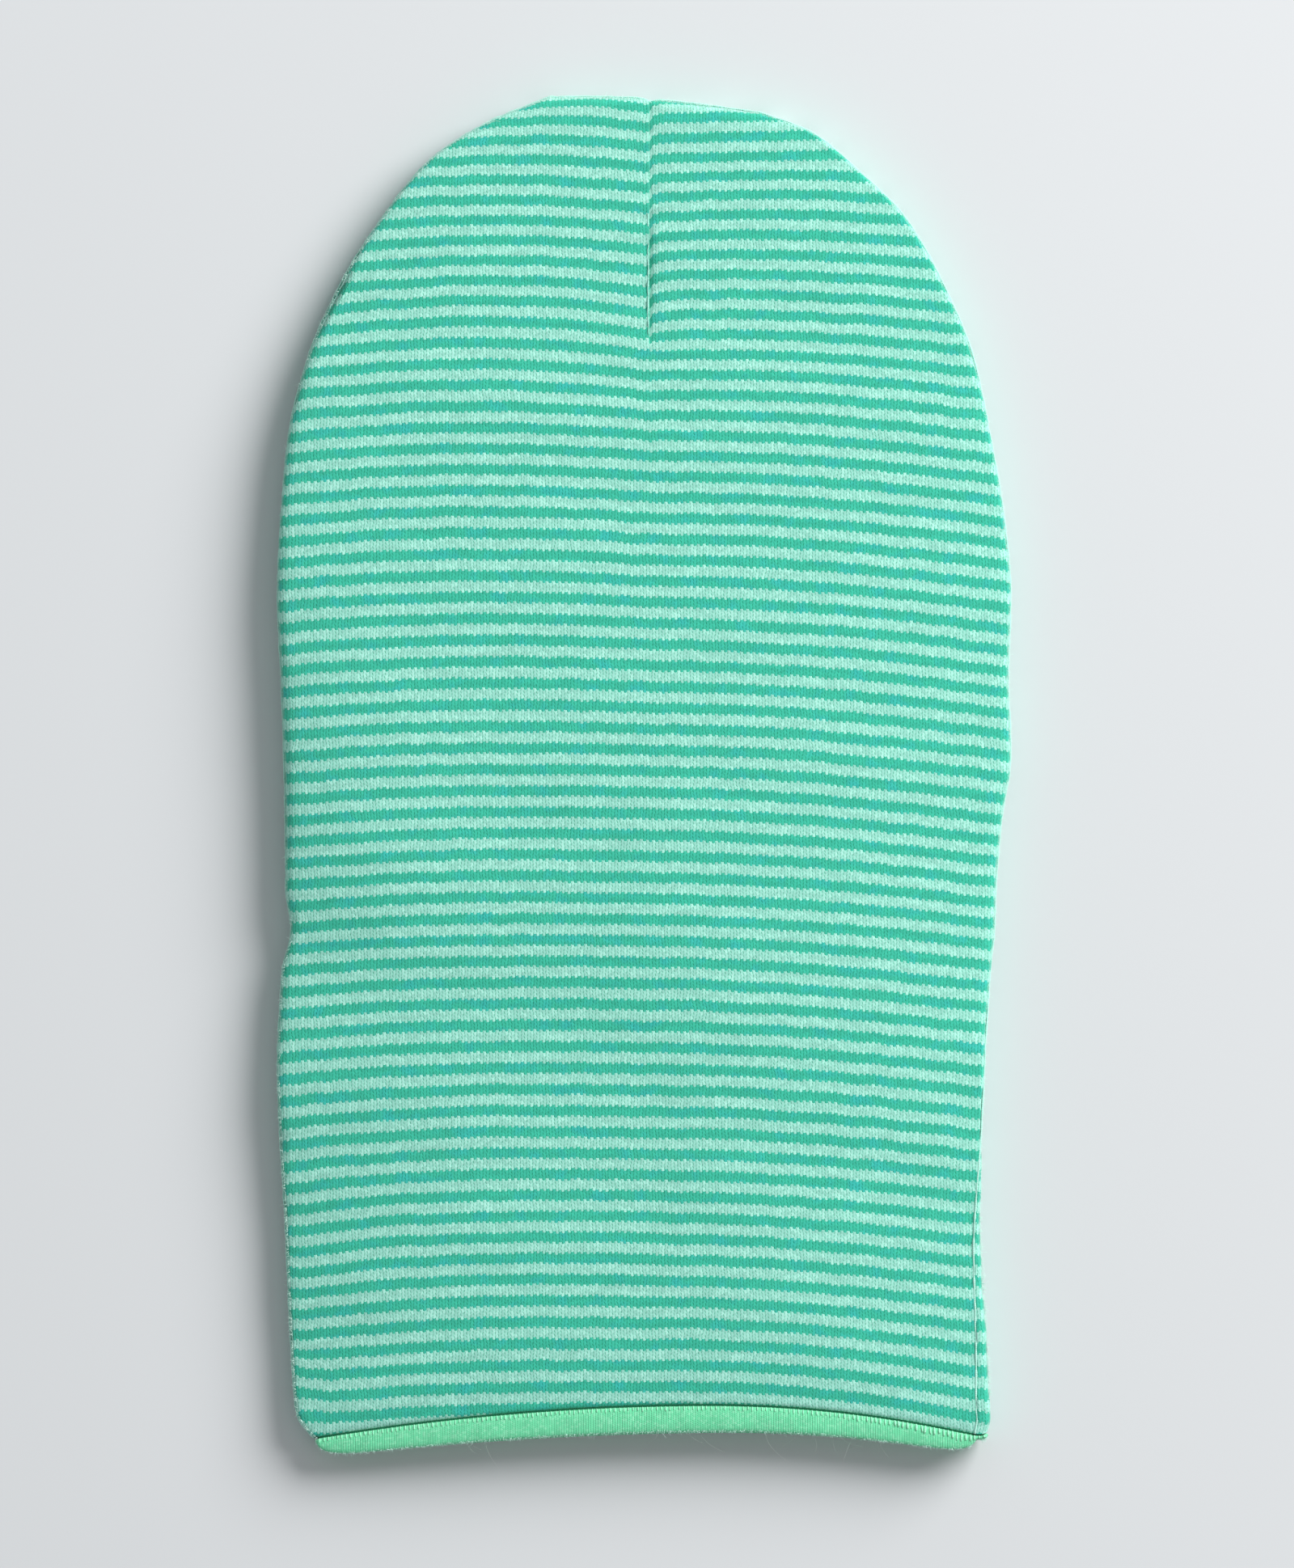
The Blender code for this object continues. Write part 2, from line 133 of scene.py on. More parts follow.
# How the stripes lie on the back, in mm, for some of the mint stripes counted down from the crown.
# middle: y just right of the dart's line. step: how much higher the stripe meets the dart from the left.
# lift: how far it bows up half way to a fold. drop: how far down it ends at the fold.
STRIPES = table(
    "stripe middle step left_lift left_drop right_lift right_drop",
    [
        (2, 144.8, 1.0, 1.2, -0.5, 0.1, -0.9),
        (6, 128.5, 2.2, 1.5, -0.7, 0.15, -0.75),
        (9, 116.3, 1.7, 1.8, -1.2, 0.8, 0.45),
        (12, 104.3, 1.2, 2.0, -0.65, 0.65, 1.8),
        (15, 92.1, 0.5, 2.5, -0.5, 0.65, 3.0),
        (18, 79.8, 0.0, 2.3, -0.25, 0.5, 4.0),
        (21, 67.5, 0.0, 1.7, 0.5, 0.15, 4.8),
        (27, 41.9, 0.0, 1.25, 0.8, 0.0, 5.6),
        (36, 2.9, 0.0, 0.65, 1.5, -0.15, 5.6),
        (45, -36.2, 0.0, 0.35, 1.8, -0.25, 5.1),
        (54, -75.5, 0.0, 0.35, 2.8, -0.15, 4.8),
        (60, -101.5, 0.0, 0.5, 3.2, -0.15, 5.3),
        (66, -127.5, 0.0, 0.0, 2.8, 0.3, 7.0),
        (72, -153.5, 0.0, 0.0, 1.5, 0.3, 8.0),
    ],
)

# Near the neck the stripes curl up again, by so many mm, over the last share of the way to the left fold
CURLS = table("stripe rise", [(56, 0.0), (60, 0.6), (63, 0.7), (64.3, 1.8), (65.5, 1.7), (67, 0.7)])
CURL_REACH = 0.05

# The knit
WALE = 0.000643
COURSES_PER_STRIPE = 6
STRIPE_PITCH = 0.00434
FRONT_STRIPE_SHIFT = 0.11
CLOTH = 0.0010
RIB_WALE = 0.0005
RIB_COURSE = 0.00042

# Threads, loose fibres and lint. FUZZ_SIDE, FUZZ_HEM: how many fibres. _MM: their least and greatest length.
# LINT_PLACES: middle and spread of x in mm, and how many hairs
SEAM_THREAD = 0.00018
SEAM_THREAD_OUT = 0.0001
SEAM_THREAD_SUNK = 0.00009
SEAM_THREAD_SPACING = 0.0005
HEM_THREAD = 0.0005
HEM_THREAD_DEPTH = 0.00105
DART_THREAD = 0.00013
DART_THREAD_RISE = 0.00013
DART_THREAD_SPACING = 0.0004
DART_EDGE_X = 0.0002
STITCH_PITCH = 0.00094
STITCH_LENGTH = 0.0009
STITCH_THREAD = 0.00015
STITCH_FIRST = 0.003
STITCH_LEAST = 0.00006
STITCH_FULLER_X = 0.035
STITCH_FULLER_REACH = 0.020
FIBRE = 0.000034
HEM_STATIONS = 600
FUZZ_SIDE = 6000
FUZZ_SIDE_MM = (0.35, 0.85)
FUZZ_HEM = 2400
FUZZ_HEM_MM = (0.3, 0.7)
FUZZ_ROOT = 0.0003
LINT_RADIUS = 0.000022
LINT_MM = (2.0, 6.0)
LINT_PLACES = [(44.0, 6.0, 9), (10.0, 12.0, 5), (-40.0, 15.0, 4)]

# Relief of the cloth. TURN_SHARE: share of the half width beyond which the cloth turns down
TURN_SHARE = 0.93
DART_LIP = 0.0002
DART_LIP_REACH = 0.0005
DART_FALL = 0.0009
DART_FALL_REACH = 0.0006
DART_RISE_REACH = 0.0025
DART_HOOK = 0.0016
DART_HOOK_REACH = 0.0009
DART_HOOK_END = 1.15
DART_HOOK_FADE = 6
DART_GAP = 0.00008
DART_OPEN = 0.93
DART_OPEN_FADE = 0.05
DART_CLOSED_FALL = 0.35
CREASE_DEPTH = 0.0005
CREASE_REACH = 0.00028
WAVE_HEIGHT = 0.00022
WAVE_LENGTH = 0.07
WAVE_START = 0.02
PUCKER_HEIGHT = 0.00018
DART_PUCKER_PITCH = 0.0046
DART_PUCKER_SWAY = 0.004
DART_PUCKER_REACH = 0.005
FOLD_PUCKER_LENGTH = 0.009
FOLD_PUCKER_REACH = 0.003
FOLD_PUCKER_SHARE = 0.7
RIM_LIFT = 0.002

# Mesh fineness
SKIN_SAMPLES = 400
BODY_ROWS = 225
ROLL_ROWS = 12
NECK_ROWS_MM = (0.0, 0.12, 0.3, 0.55, 0.9, 1.35, 1.9, 2.6)
DART_COLUMNS_MM = (0.0, 0.15, 0.4, 0.75, 1.2, 1.8, 2.6)
TOP_COLUMNS = 46
TURN_COLUMNS = 12
TURN_REACH = 0.0007
TURN_DEPTH = 0.0002
WALL_COLUMNS = 8
WALL_LEAST = 0.0004
FLAT_COLUMNS = 90
RIM_COLUMNS = 27
FACE_STATIONS = 160
FACE_SAMPLES = 4000
CROWN_STATIONS = 90
DART_STATIONS = 120
SLOPE_STEP = 1e-4
BAND_TURNS = 24
NECK_BAND_STATIONS = 520
FACE_BAND_STATIONS = 720
HEM_THREAD_STATIONS = 300

CROWN_Y = CAP_LENGTH / 2
UPPER_SEAM = SEAM_HEIGHT + PIECE_GAP / 2
LOWER_SEAM = SEAM_HEIGHT - PIECE_GAP / 2


def smooth(rows, name, at):
    """A column of a table at any places of its first column, on a curve that doesn't overshoot."""
    places = rows[rows.dtype.names[0]]
    values = rows[name]
    steps = np.diff(values) / np.diff(places)
    before = steps[:-1]
    after = steps[1:]
    same_way = before * after > 0
    inner = np.where(same_way, 2 * before * after / np.where(same_way, before + after, 1.0), 0.0)
    slopes = np.concatenate([steps[:1], inner, steps[-1:]])
    at = np.clip(at, places[0], places[-1])
    k = np.clip(np.searchsorted(places, at, side="right") - 1, 0, len(places) - 2)
    width = places[k + 1] - places[k]
    t = (at - places[k]) / width
    from_below = (1 - t) ** 2 * (values[k] * (1 + 2 * t) + slopes[k] * width * t)
    from_above = t**2 * (values[k + 1] * (3 - 2 * t) - slopes[k + 1] * width * (1 - t))
    return from_below + from_above


def half_widths(along):
    """Distance of the left and the right fold from the middle of the cap."""
    return [CAP_WIDTH / 2 * smooth(SECTIONS, side, along) for side in ("left", "right")]


def binding_width(x):
    """Width of the neck binding at x."""
    left, right = half_widths(0.0)
    share = np.minimum(np.abs(x) / np.where(x > 0, right * BINDING_END, left), 1.0)
    full = BINDING_WIDTH * (1 - BINDING_TAPER * share**2) * np.sqrt(1 - share**CORNER_SHARPNESS)
    return np.maximum(full, BINDING_LEAST)


def neck_arch(x):
    """How far the neck seam at x lies below the top of its arch."""
    left, right = half_widths(0.0)
    reach = np.where(x > NECK_ARCH_X, right - NECK_ARCH_X, left + NECK_ARCH_X)
    lift = NECK_CORNER_LIFT * np.clip(x / right, 0.0, 1.0) ** LIFT_SHARPNESS
    return NECK_ARCH * ((x - NECK_ARCH_X) / reach) ** 2 - lift


def neck_reach():
    """How far the neck's lowest point lies below the top of its arch."""
    left, right = half_widths(0.0)
    x = np.linspace(-left, right, 200)
    return (neck_arch(x) + PIECE_GAP + binding_width(x)).max()


NECK_Y = neck_reach() - CAP_LENGTH / 2
PANEL_LENGTH = CROWN_Y - NECK_Y
ROLL_START = 1 - CROWN_ROLL / PANEL_LENGTH


def roll(along, depth):
    """1 on the body of the cap, falling to 0 at the crown edge on a quarter ellipse of this depth."""
    into = (along - 1) * PANEL_LENGTH / depth + 1
    return np.sqrt(1 - np.clip(into, 0.0, 1.0) ** FOLD_TIGHTNESS)


def seam_wrap(along):
    """How far the right side seam has climbed the wall and turned onto the back."""
    return SEAM_WRAP * smooth(SECTIONS, "wrap", along)


def dart_fade(along):
    """1 along the dart, 0 below its end."""
    past_end = DART_LENGTH - (1 - along) * PANEL_LENGTH
    return np.sqrt(np.clip(past_end / DART_END, 0.0, 1.0))


def top_lines(along):
    """Sections over the back, one row for each share along the cap, as x and z."""
    left, right = half_widths(along)
    across = np.sin(np.linspace(-math.pi / 2, math.pi / 2, SKIN_SAMPLES))[None, :]
    x = np.where(across < 0, across * left[:, None], across * right[:, None])
    rise = CAP_HEIGHT * smooth(SECTIONS, "rise", along) - UPPER_SEAM
    from_fold = np.where(across < 0, x + left[:, None], right[:, None] - x)
    wall = np.sqrt(1 - np.clip(1 - from_fold / FOLD_ROUND, 0.0, 1.0) ** FOLD_TIGHTNESS)
    to_step = STEP_Y + STEP_SLANT * x - (NECK_Y + along * PANEL_LENGTH)[:, None]
    below_step = (1 + np.tanh(to_step / STEP_REACH)) / 2
    left_fullness = LEFT_FULLNESS + (NECK_FULLNESS - LEFT_FULLNESS) * below_step
    swell = 1 - np.abs(across) ** np.where(across < 0, left_fullness, RIGHT_FULLNESS)
    left_share = smooth(SECTIONS, "left_swell", along)[:, None]
    swell_share = np.where(across < 0, left_share, smooth(SECTIONS, "right_swell", along)[:, None])
    dip = STEP_DROP * (1 - STEP_FADE * across) * wall * below_step
    shape = rise[:, None] * ((1 - swell_share) * wall + swell_share * swell) - dip
    return x, UPPER_SEAM + shape * roll(along, CROWN_ROLL)[:, None]


def floor_lines(along):
    """Sections along the floor, one row for each share along the cap, as x and z."""
    left, right = half_widths(along)
    turn = np.linspace(0, math.pi / 2, SKIN_SAMPLES // 4)[None, :]
    inwards = FLOOR_RIM * (1 - np.cos(turn))
    down = LOWER_SEAM * roll(along, FLOOR_RIM)[:, None] * np.sin(turn)
    x = np.concatenate([inwards - left[:, None], (right[:, None] - inwards)[:, ::-1]], axis=1)
    z = np.concatenate([LOWER_SEAM - down, (LOWER_SEAM - down)[:, ::-1]], axis=1)
    return x, z


def lengthwise(x, along, underneath=False):
    """y of skin points: the neck's arch and the crown's tilt and notch move them off their section."""
    left, right = half_widths(along)
    arch = neck_arch(x) * (1 - along) ** ARCH_FADE
    tilt = CROWN_TILT * np.maximum(x / right, 0.0) * along**TILT_FADE
    notch = DART_NOTCH * np.exp(-np.abs(x - DART_X) / DART_REACH) * (1 - roll(along, CROWN_ROLL))
    middle = np.maximum(1 - (x / left) ** 2, 0.0)
    drop = NECK_FRONT_DROP * middle * (1 - along) ** ARCH_FADE if underneath else 0.0
    return NECK_Y + along * PANEL_LENGTH - arch - tilt - notch - drop


def lengths_along(x, z):
    """Length along each section's line up to each of its points."""
    steps = np.hypot(np.diff(x, axis=1), np.diff(z, axis=1))
    return np.concatenate([np.zeros((len(x), 1)), np.cumsum(steps, axis=1)], axis=1)


def read_rows(at, known, values):
    """Values of each row at its own places among the known ones."""
    return np.array([np.interp(*row) for row in zip(at, known, values)])


def read_lines(places, lengths, x, z):
    """x and z of each row's line at that row's places along it."""
    return read_rows(places, lengths, x), read_rows(places, lengths, z)


def rows_along(body_rows):
    """Shares along the cap: close at the neck seam and round the crown's roll, even between."""
    neck = np.array(NECK_ROWS_MM) * MM / PANEL_LENGTH
    body = np.linspace(neck[-1], ROLL_START, body_rows)[1:]
    turn = np.linspace(0, math.pi / 2, ROLL_ROWS + 1)[1:]
    return np.concatenate([neck, body, 1 - (1 - np.sin(turn)) * (1 - ROLL_START)])


def unit(vectors):
    """The same vectors, one long."""
    return vectors / np.maximum(np.linalg.norm(vectors, axis=-1, keepdims=True), 1e-12)


def raised(points, relief, up):
    """A grid of points moved out along its normals. up is 1 on top and -1 underneath."""
    across = np.gradient(points, axis=1)
    lengthways = np.gradient(points, axis=0)
    return points + unit(np.cross(across, lengthways) * up) * relief[:, :, None]


def waves(x, y, count, longest, seed):
    """Soft irregular waves over the plan, about 1 high in each direction."""
    random = np.random.default_rng(seed)
    total = np.zeros_like(x)
    for k in range(count):
        length = longest * 0.8**k
        turn = random.uniform(0, math.pi)
        phase = random.uniform(0, 2 * math.pi)
        total += np.sin(2 * math.pi * (x * math.cos(turn) + y * math.sin(turn)) / length + phase) * 0.8**k
    return total / math.sqrt(count)


def unrolled(y, z, along, extra):
    """y as if the crown's edge were rolled out flat, so that its stripes close up as the cloth turns down."""
    dy = np.abs(np.diff(y, axis=0))
    dz = np.diff(z, axis=0)
    spare = np.where((along[1:] > ROLL_START)[:, None], np.hypot(dy, dz) - dy, 0.0)
    return y + np.concatenate([np.zeros((1, y.shape[1])), np.cumsum(spare, axis=0)]) + extra


def stripe_height(stripe, side, share):
    """y of a stripe at a share of the way from the dart's line to the fold on the left or right side."""
    lift = smooth(STRIPES, f"{side}_lift", stripe)
    drop = smooth(STRIPES, f"{side}_drop", stripe)
    bow = 4 * share * (1 - share) * lift - drop * share ** (3 if side == "left" else 2)
    if side == "left":
        curl = np.interp(stripe, CURLS["stripe"], CURLS["rise"]) * np.exp((share - 1) / CURL_REACH)
        bow = bow + smooth(STRIPES, "step", stripe) + curl
    return (smooth(STRIPES, "middle", stripe) + bow) * MM


def stripe_number(x, y, on_left):
    """Which stripe runs through the points x, y of the plan, as a number with a fraction."""
    along = np.clip((y - NECK_Y) / PANEL_LENGTH, 0.0, 1.0)
    left, right = half_widths(along)
    left_share = np.clip((DART_X - x) / (DART_X + left), 0.0, 1.0)
    right_share = np.clip((x - DART_X) / (right - DART_X), 0.0, 1.0)
    stripe = np.interp(-y, -STRIPES["middle"] * MM, STRIPES["stripe"])
    for _ in range(8):
        left_y = stripe_height(stripe, "left", left_share)
        right_y = stripe_height(stripe, "right", right_share)
        stripe = stripe + (np.where(on_left, left_y, right_y) - y) / STRIPE_PITCH
    return stripe


def outline_lean(along):
    """How far each fold's outward direction leans to the crown, 0 where the outline runs straight."""
    step = 0.004
    leans = []
    for before, after in zip(half_widths(along - step), half_widths(along + step)):
        slope = (before - after) / (2 * step * PANEL_LENGTH)
        leans.append(slope / np.hypot(1, slope))
    return leans


def panel(name, points, uv, up):
    """Knitted panel with its skin through a grid of points, up (1) or down (-1), and its wall inside it."""
    rows, columns = points.shape[:2]
    index = np.arange(rows * columns).reshape(rows, columns)
    corners = [index[:-1, :-1], index[:-1, 1:], index[1:, 1:], index[1:, :-1]]
    faces = np.stack(corners[::up], axis=-1).reshape(-1, 4)
    obj = knit_mesh(name, points, faces, uv.reshape(-1, 2)[faces])
    wall = obj.modifiers.new("wall", "SOLIDIFY")
    wall.thickness = CLOTH
    wall.offset = -1
    wall.use_even_offset = False
    return obj


def place(name, data):
    """Object in the scene for a mesh, a light or a camera."""
    obj = bpy.data.objects.new(name, data)
    bpy.context.scene.collection.objects.link(obj)
    return obj


def knit_mesh(name, points, faces, corner_uv):
    """Object with smooth faces and the map Knit, in wales and courses."""
    mesh = bpy.data.meshes.new(name)
    mesh.from_pydata(points.reshape(-1, 3).tolist(), [], faces.tolist())
    layer = mesh.uv_layers.new(name="Knit")
    layer.data.foreach_set("uv", np.ascontiguousarray(corner_uv, dtype=np.float32).ravel())
    mesh.shade_smooth()
    return place(name, mesh)


def side_places(far, turn):
    """Columns up to an edge, as distances from it: even on top and on the wall, and close round the turn."""
    far = far[:, None]
    turn = np.maximum(turn[:, None], TURN_REACH + WALL_LEAST)
    top, round_turn, wall = (
        np.linspace(0, 1, count + 1)[None, 1:] for count in (TOP_COLUMNS, TURN_COLUMNS, WALL_COLUMNS)
    )
    top_places = far + (turn + TURN_REACH - far) * top
    turn_places = turn + TURN_REACH * (1 - 2 * round_turn)
    wall_places = (turn - TURN_REACH) * (1 - wall)
    return np.concatenate([top_places, turn_places, wall_places], axis=1)


def back_knit():
    """The striped back: arched, rolled over at the crown, with the dart's sharp fold and its puckers."""
    along = rows_along(BODY_ROWS)
    x, z = top_lines(along)
    lengths = lengths_along(x, z)
    dart = read_rows(np.full(len(x), DART_X), x, lengths)
    end = lengths[:, -1] - seam_wrap(along)
    close = np.array(DART_COLUMNS_MM) * MM
    half_left, half_right = half_widths(along)
    turn_x = np.column_stack([TURN_DEPTH - half_left, half_right - TURN_DEPTH])
    turns = read_rows(turn_x, x, lengths)
    left = [dart[:, None] - close[None, :]]
    left.append(side_places(left[0][:, -1], turns[:, 0]))
    right = [dart[:, None] + close[None, :] + DART_GAP]
    right.append(end[:, None] - side_places(end - right[0][:, -1], end - turns[:, 1]))
    places = np.concatenate([np.concatenate(left, axis=1)[:, ::-1], np.concatenate(right, axis=1)], axis=1)
    px, pz = read_lines(places, lengths, x, z)
    py = lengthwise(px, along[:, None])
    points = np.stack([px, py, pz], axis=2)
    on_left = np.arange(px.shape[1])[None, :] < places.shape[1] // 2
    on_left = np.broadcast_to(on_left, px.shape)
    fade = (dart_fade(along) * roll(along, CROWN_ROLL))[:, None]
    from_dart = np.abs(places - dart[:, None])

    # The cloth that turns down at the folds takes up stripes too, where the outline leans
    left_lean, right_lean = outline_lean(along)
    outside = np.where(on_left, -px / half_left[:, None], px / half_right[:, None])
    spare = np.zeros_like(px)
    for columns in (range(px.shape[1] // 2 - 2, -1, -1), range(px.shape[1] // 2 + 1, px.shape[1])):
        for j in columns:
            inner = j + 1 if columns.step == -1 else j - 1
            step = np.abs(places[:, j] - places[:, inner]) - np.abs(px[:, j] - px[:, inner])
            spare[:, j] = spare[:, inner] + np.where(outside[:, j] > TURN_SHARE, step, 0.0)
    lean = np.where(on_left, left_lean[:, None], right_lean[:, None])
    flat_y = unrolled(py, pz, along, spare * lean)
    near_end = np.clip((DART_HOOK_END - along[:, None]) * DART_HOOK_FADE * fade, 0.0, 1.0)
    flat_y = flat_y + np.where(on_left, 0.0, DART_HOOK * near_end * np.exp(-from_dart / DART_HOOK_REACH))
    stripe = stripe_number(px, flat_y, on_left)
    uv = np.stack([(places - dart[:, None]) / WALE, stripe * COURSES_PER_STRIPE], axis=2)

    # Fine relief
    from_neck = along[:, None] * PANEL_LENGTH
    relief = WAVE_HEIGHT * waves(px, py, 8, WAVE_LENGTH, 3) * np.clip(from_neck / WAVE_START, 0, 1)
    relief -= CREASE_DEPTH * np.exp(-from_neck / CREASE_REACH)
    near_dart = np.exp(-from_dart / DART_PUCKER_REACH) * fade
    sway = 1.2 * np.sin(py / DART_PUCKER_SWAY)
    relief += PUCKER_HEIGHT * np.sin(2 * math.pi * py / DART_PUCKER_PITCH + sway) * near_dart
    right_fall = DART_FALL * np.exp(-from_dart / DART_FALL_REACH)
    left_fall = 0.5 * DART_FALL * np.exp(-from_dart / DART_RISE_REACH)
    left_fall -= DART_LIP * np.exp(-from_dart / DART_LIP_REACH)
    opening = np.clip((DART_OPEN - along[:, None]) / DART_OPEN_FADE, DART_CLOSED_FALL, 1.0)
    relief -= np.where(on_left, left_fall, right_fall) * fade * opening
    near_fold = np.exp(-np.minimum(places, end[:, None] - places) / FOLD_PUCKER_REACH)
    puckers = waves(px * 0.2, py, 5, FOLD_PUCKER_LENGTH, 11)
    relief += PUCKER_HEIGHT * FOLD_PUCKER_SHARE * near_fold * puckers
    return panel("back_knit", raised(points, relief, 1), uv, 1)


def oval(width, height, count):
    """Points of a full oval, anticlockwise, as x and y."""
    turns = np.linspace(0, 2 * math.pi, count, endpoint=False)
    power = 2 / FACE_ROUNDNESS
    x = width / 2 * np.sign(np.cos(turns)) * np.abs(np.cos(turns)) ** power
    y = height / 2 * np.sign(np.sin(turns)) * np.abs(np.sin(turns)) ** power
    return np.column_stack([x, y])


def cut_face(obj):
    """Cuts the face opening and the place of its binding out of the front."""
    spare = 2 * (BINDING_WIDTH + PIECE_GAP)
    outline = oval(FACE_WIDTH + spare, FACE_HEIGHT + spare, FACE_STATIONS) + [0, CROWN_Y - FACE_FROM_CROWN]
    count = len(outline)
    low, high = (np.column_stack([outline, np.full(count, z)]) for z in FACE_CUT)
    sides = [[k, (k + 1) % count, (k + 1) % count + count, k + count] for k in range(count)]
    ends = [list(range(count))[::-1], list(range(count, 2 * count))]
    mesh = bpy.data.meshes.new("face_cutter")
    mesh.from_pydata(np.concatenate([low, high]).tolist(), [], sides + ends)
    cutter = place("face_cutter", mesh)
    cut = obj.modifiers.new("face", "BOOLEAN")
    cut.operation = "DIFFERENCE"
    cut.solver = "EXACT"
    cut.object = cutter
    evaluated = obj.evaluated_get(bpy.context.evaluated_depsgraph_get())
    cut_mesh = bpy.data.meshes.new_from_object(evaluated)
    obj.modifiers.clear()
    obj.data = cut_mesh
    bpy.data.objects.remove(cutter)


def front_knit():
    """The striped face side: flat on the floor, its rim turned up to the seam and wrapped on the right."""
    along = rows_along(BODY_ROWS * 2 // 3)
    x, z = floor_lines(along)
    top_x, top_z = top_lines(along)
    x = np.concatenate([x, top_x[:, ::-1]], axis=1)
    z = np.concatenate([z, top_z[:, ::-1]], axis=1)
    lengths = lengths_along(x, z)
    samples = SKIN_SAMPLES // 4
    left_rim = lengths[:, samples - 1 : samples]
    right_rim = lengths[:, samples : samples + 1]
    end = (lengths[:, 2 * samples - 1] + seam_wrap(along))[:, None]
    rim = np.linspace(0, 1, RIM_COLUMNS)[None, :]
    flat = np.linspace(0, 1, FLAT_COLUMNS)[None, 1:-1]
    flat_places = left_rim + (right_rim - left_rim) * flat
    places = np.concatenate([left_rim * rim, flat_places, right_rim + (end - right_rim) * rim], axis=1)
    px, pz = read_lines(places, lengths, x, z)
    py = lengthwise(px, along[:, None], underneath=True)
    points = np.stack([px, py, pz], axis=2)
    flat_y = unrolled(py, pz, along, 0.0)
    stripe = stripe_number(px, flat_y, px < DART_X) + FRONT_STRIPE_SHIFT
    uv = np.stack([(places - right_rim) / WALE, stripe * COURSES_PER_STRIPE], axis=2)
    lifted = np.clip(pz / RIM_LIFT, 0, 1)
    relief = PUCKER_HEIGHT * lifted * waves(px * 0.2, py, 5, FOLD_PUCKER_LENGTH, 5)
    points = raised(points, relief, -1)
    points[:, :, 2] = np.maximum(points[:, :, 2], 0.0)
    obj = panel("front_knit", points, uv, -1)
    cut_face(obj)
    return obj


def band_depth(share):
    """Depth below the skin of a binding's upper face, at a share of the way from its seam to its edge."""
    return BINDING_THICKNESS / 2 * (1 - (4 * share * (1 - share)) ** (BINDING_FULLNESS / 2))


def band(name, seam, outward, inward, width, lengths):
    """Closed ring of binding from its seam line and the ways out of the seam and into the cloth."""
    turns = np.linspace(0, 2 * math.pi, BAND_TURNS + 1)[:-1]
    share = (1 - np.cos(turns)) / 2
    # The section goes out over the top and comes back underneath
    upper = band_depth(share)
    depth = np.where(turns < math.pi, upper, BINDING_THICKNESS - upper)
    reach = width[:, None] * share[None, :]
    points = seam[:, None, :] + outward[:, None, :] * reach[:, :, None]
    points = points + inward[:, None, :] * depth[None, :, None]
    rows, columns = reach.shape
    index = np.arange(rows * columns).reshape(rows, columns)
    ahead = np.roll(index, -1, axis=0)
    corners = [index, np.roll(index, -1, axis=1), np.roll(ahead, -1, axis=1), ahead]
    faces = np.stack(corners, axis=-1).reshape(-1, 4)
    loop = 2 * (BINDING_WIDTH + BINDING_THICKNESS)
    u = np.append(lengths, lengths[-1] + lengths[1]) / RIB_WALE
    v = np.linspace(0, loop, columns + 1) / RIB_COURSE
    u0, v0 = np.meshgrid(u[:-1], v[:-1], indexing="ij")
    u1, v1 = np.meshgrid(u[1:], v[1:], indexing="ij")
    corner_uv = np.stack([u0, v0, u0, v1, u1, v1, u1, v0], axis=-1).reshape(-1, 4, 2)
    obj = knit_mesh(name, points, faces, corner_uv)
    obj.data.validate()
    return obj


def neck_band():
    """The light green binding, over the back of the neck and under the front."""
    seam, inward = neck_stations(NECK_BAND_STATIONS)
    seam[:, 1] -= PIECE_GAP
    outward = np.broadcast_to([0.0, -1.0, 0.0], seam.shape)
    return band("neck_band", seam, outward, inward, binding_width(seam[:, 0]), path_lengths(seam))


def face_band():
    """The binding round the face opening, which lies on the floor."""
    rim = oval(FACE_WIDTH + 2 * BINDING_WIDTH, FACE_HEIGHT + 2 * BINDING_WIDTH, FACE_SAMPLES)
    rim = np.concatenate([rim, rim[:1]])
    along = path_lengths(rim)
    lengths = np.linspace(0, along[-1], FACE_BAND_STATIONS + 1)[:-1]
    x, y = read_path(lengths, along, rim).T
    tangent_x = np.roll(x, -1) - np.roll(x, 1)
    tangent_y = np.roll(y, -1) - np.roll(y, 1)
    outward = unit(np.column_stack([-tangent_y, tangent_x, np.zeros_like(x)]))
    seam = np.column_stack([x, y + CROWN_Y - FACE_FROM_CROWN, np.zeros_like(x)])
    inward = np.broadcast_to([0.0, 0.0, 1.0], seam.shape)
    return band("face_band", seam, outward, inward, np.full(len(x), BINDING_WIDTH), lengths)


def path_lengths(path):
    """Length along a path up to each of its points."""
    return np.concatenate([[0.0], np.cumsum(np.linalg.norm(np.diff(path, axis=0), axis=1))])


def read_path(places, lengths, path):
    """Points at places along a path."""
    return np.stack([np.interp(places, lengths, column) for column in path.T], axis=-1)


def ways_of(path):
    """The ways ahead and level outward at each point of a path that runs clockwise round the cap."""
    ahead = np.gradient(path, axis=0)
    return ahead, unit(np.cross([0.0, 0.0, 1.0], ahead))


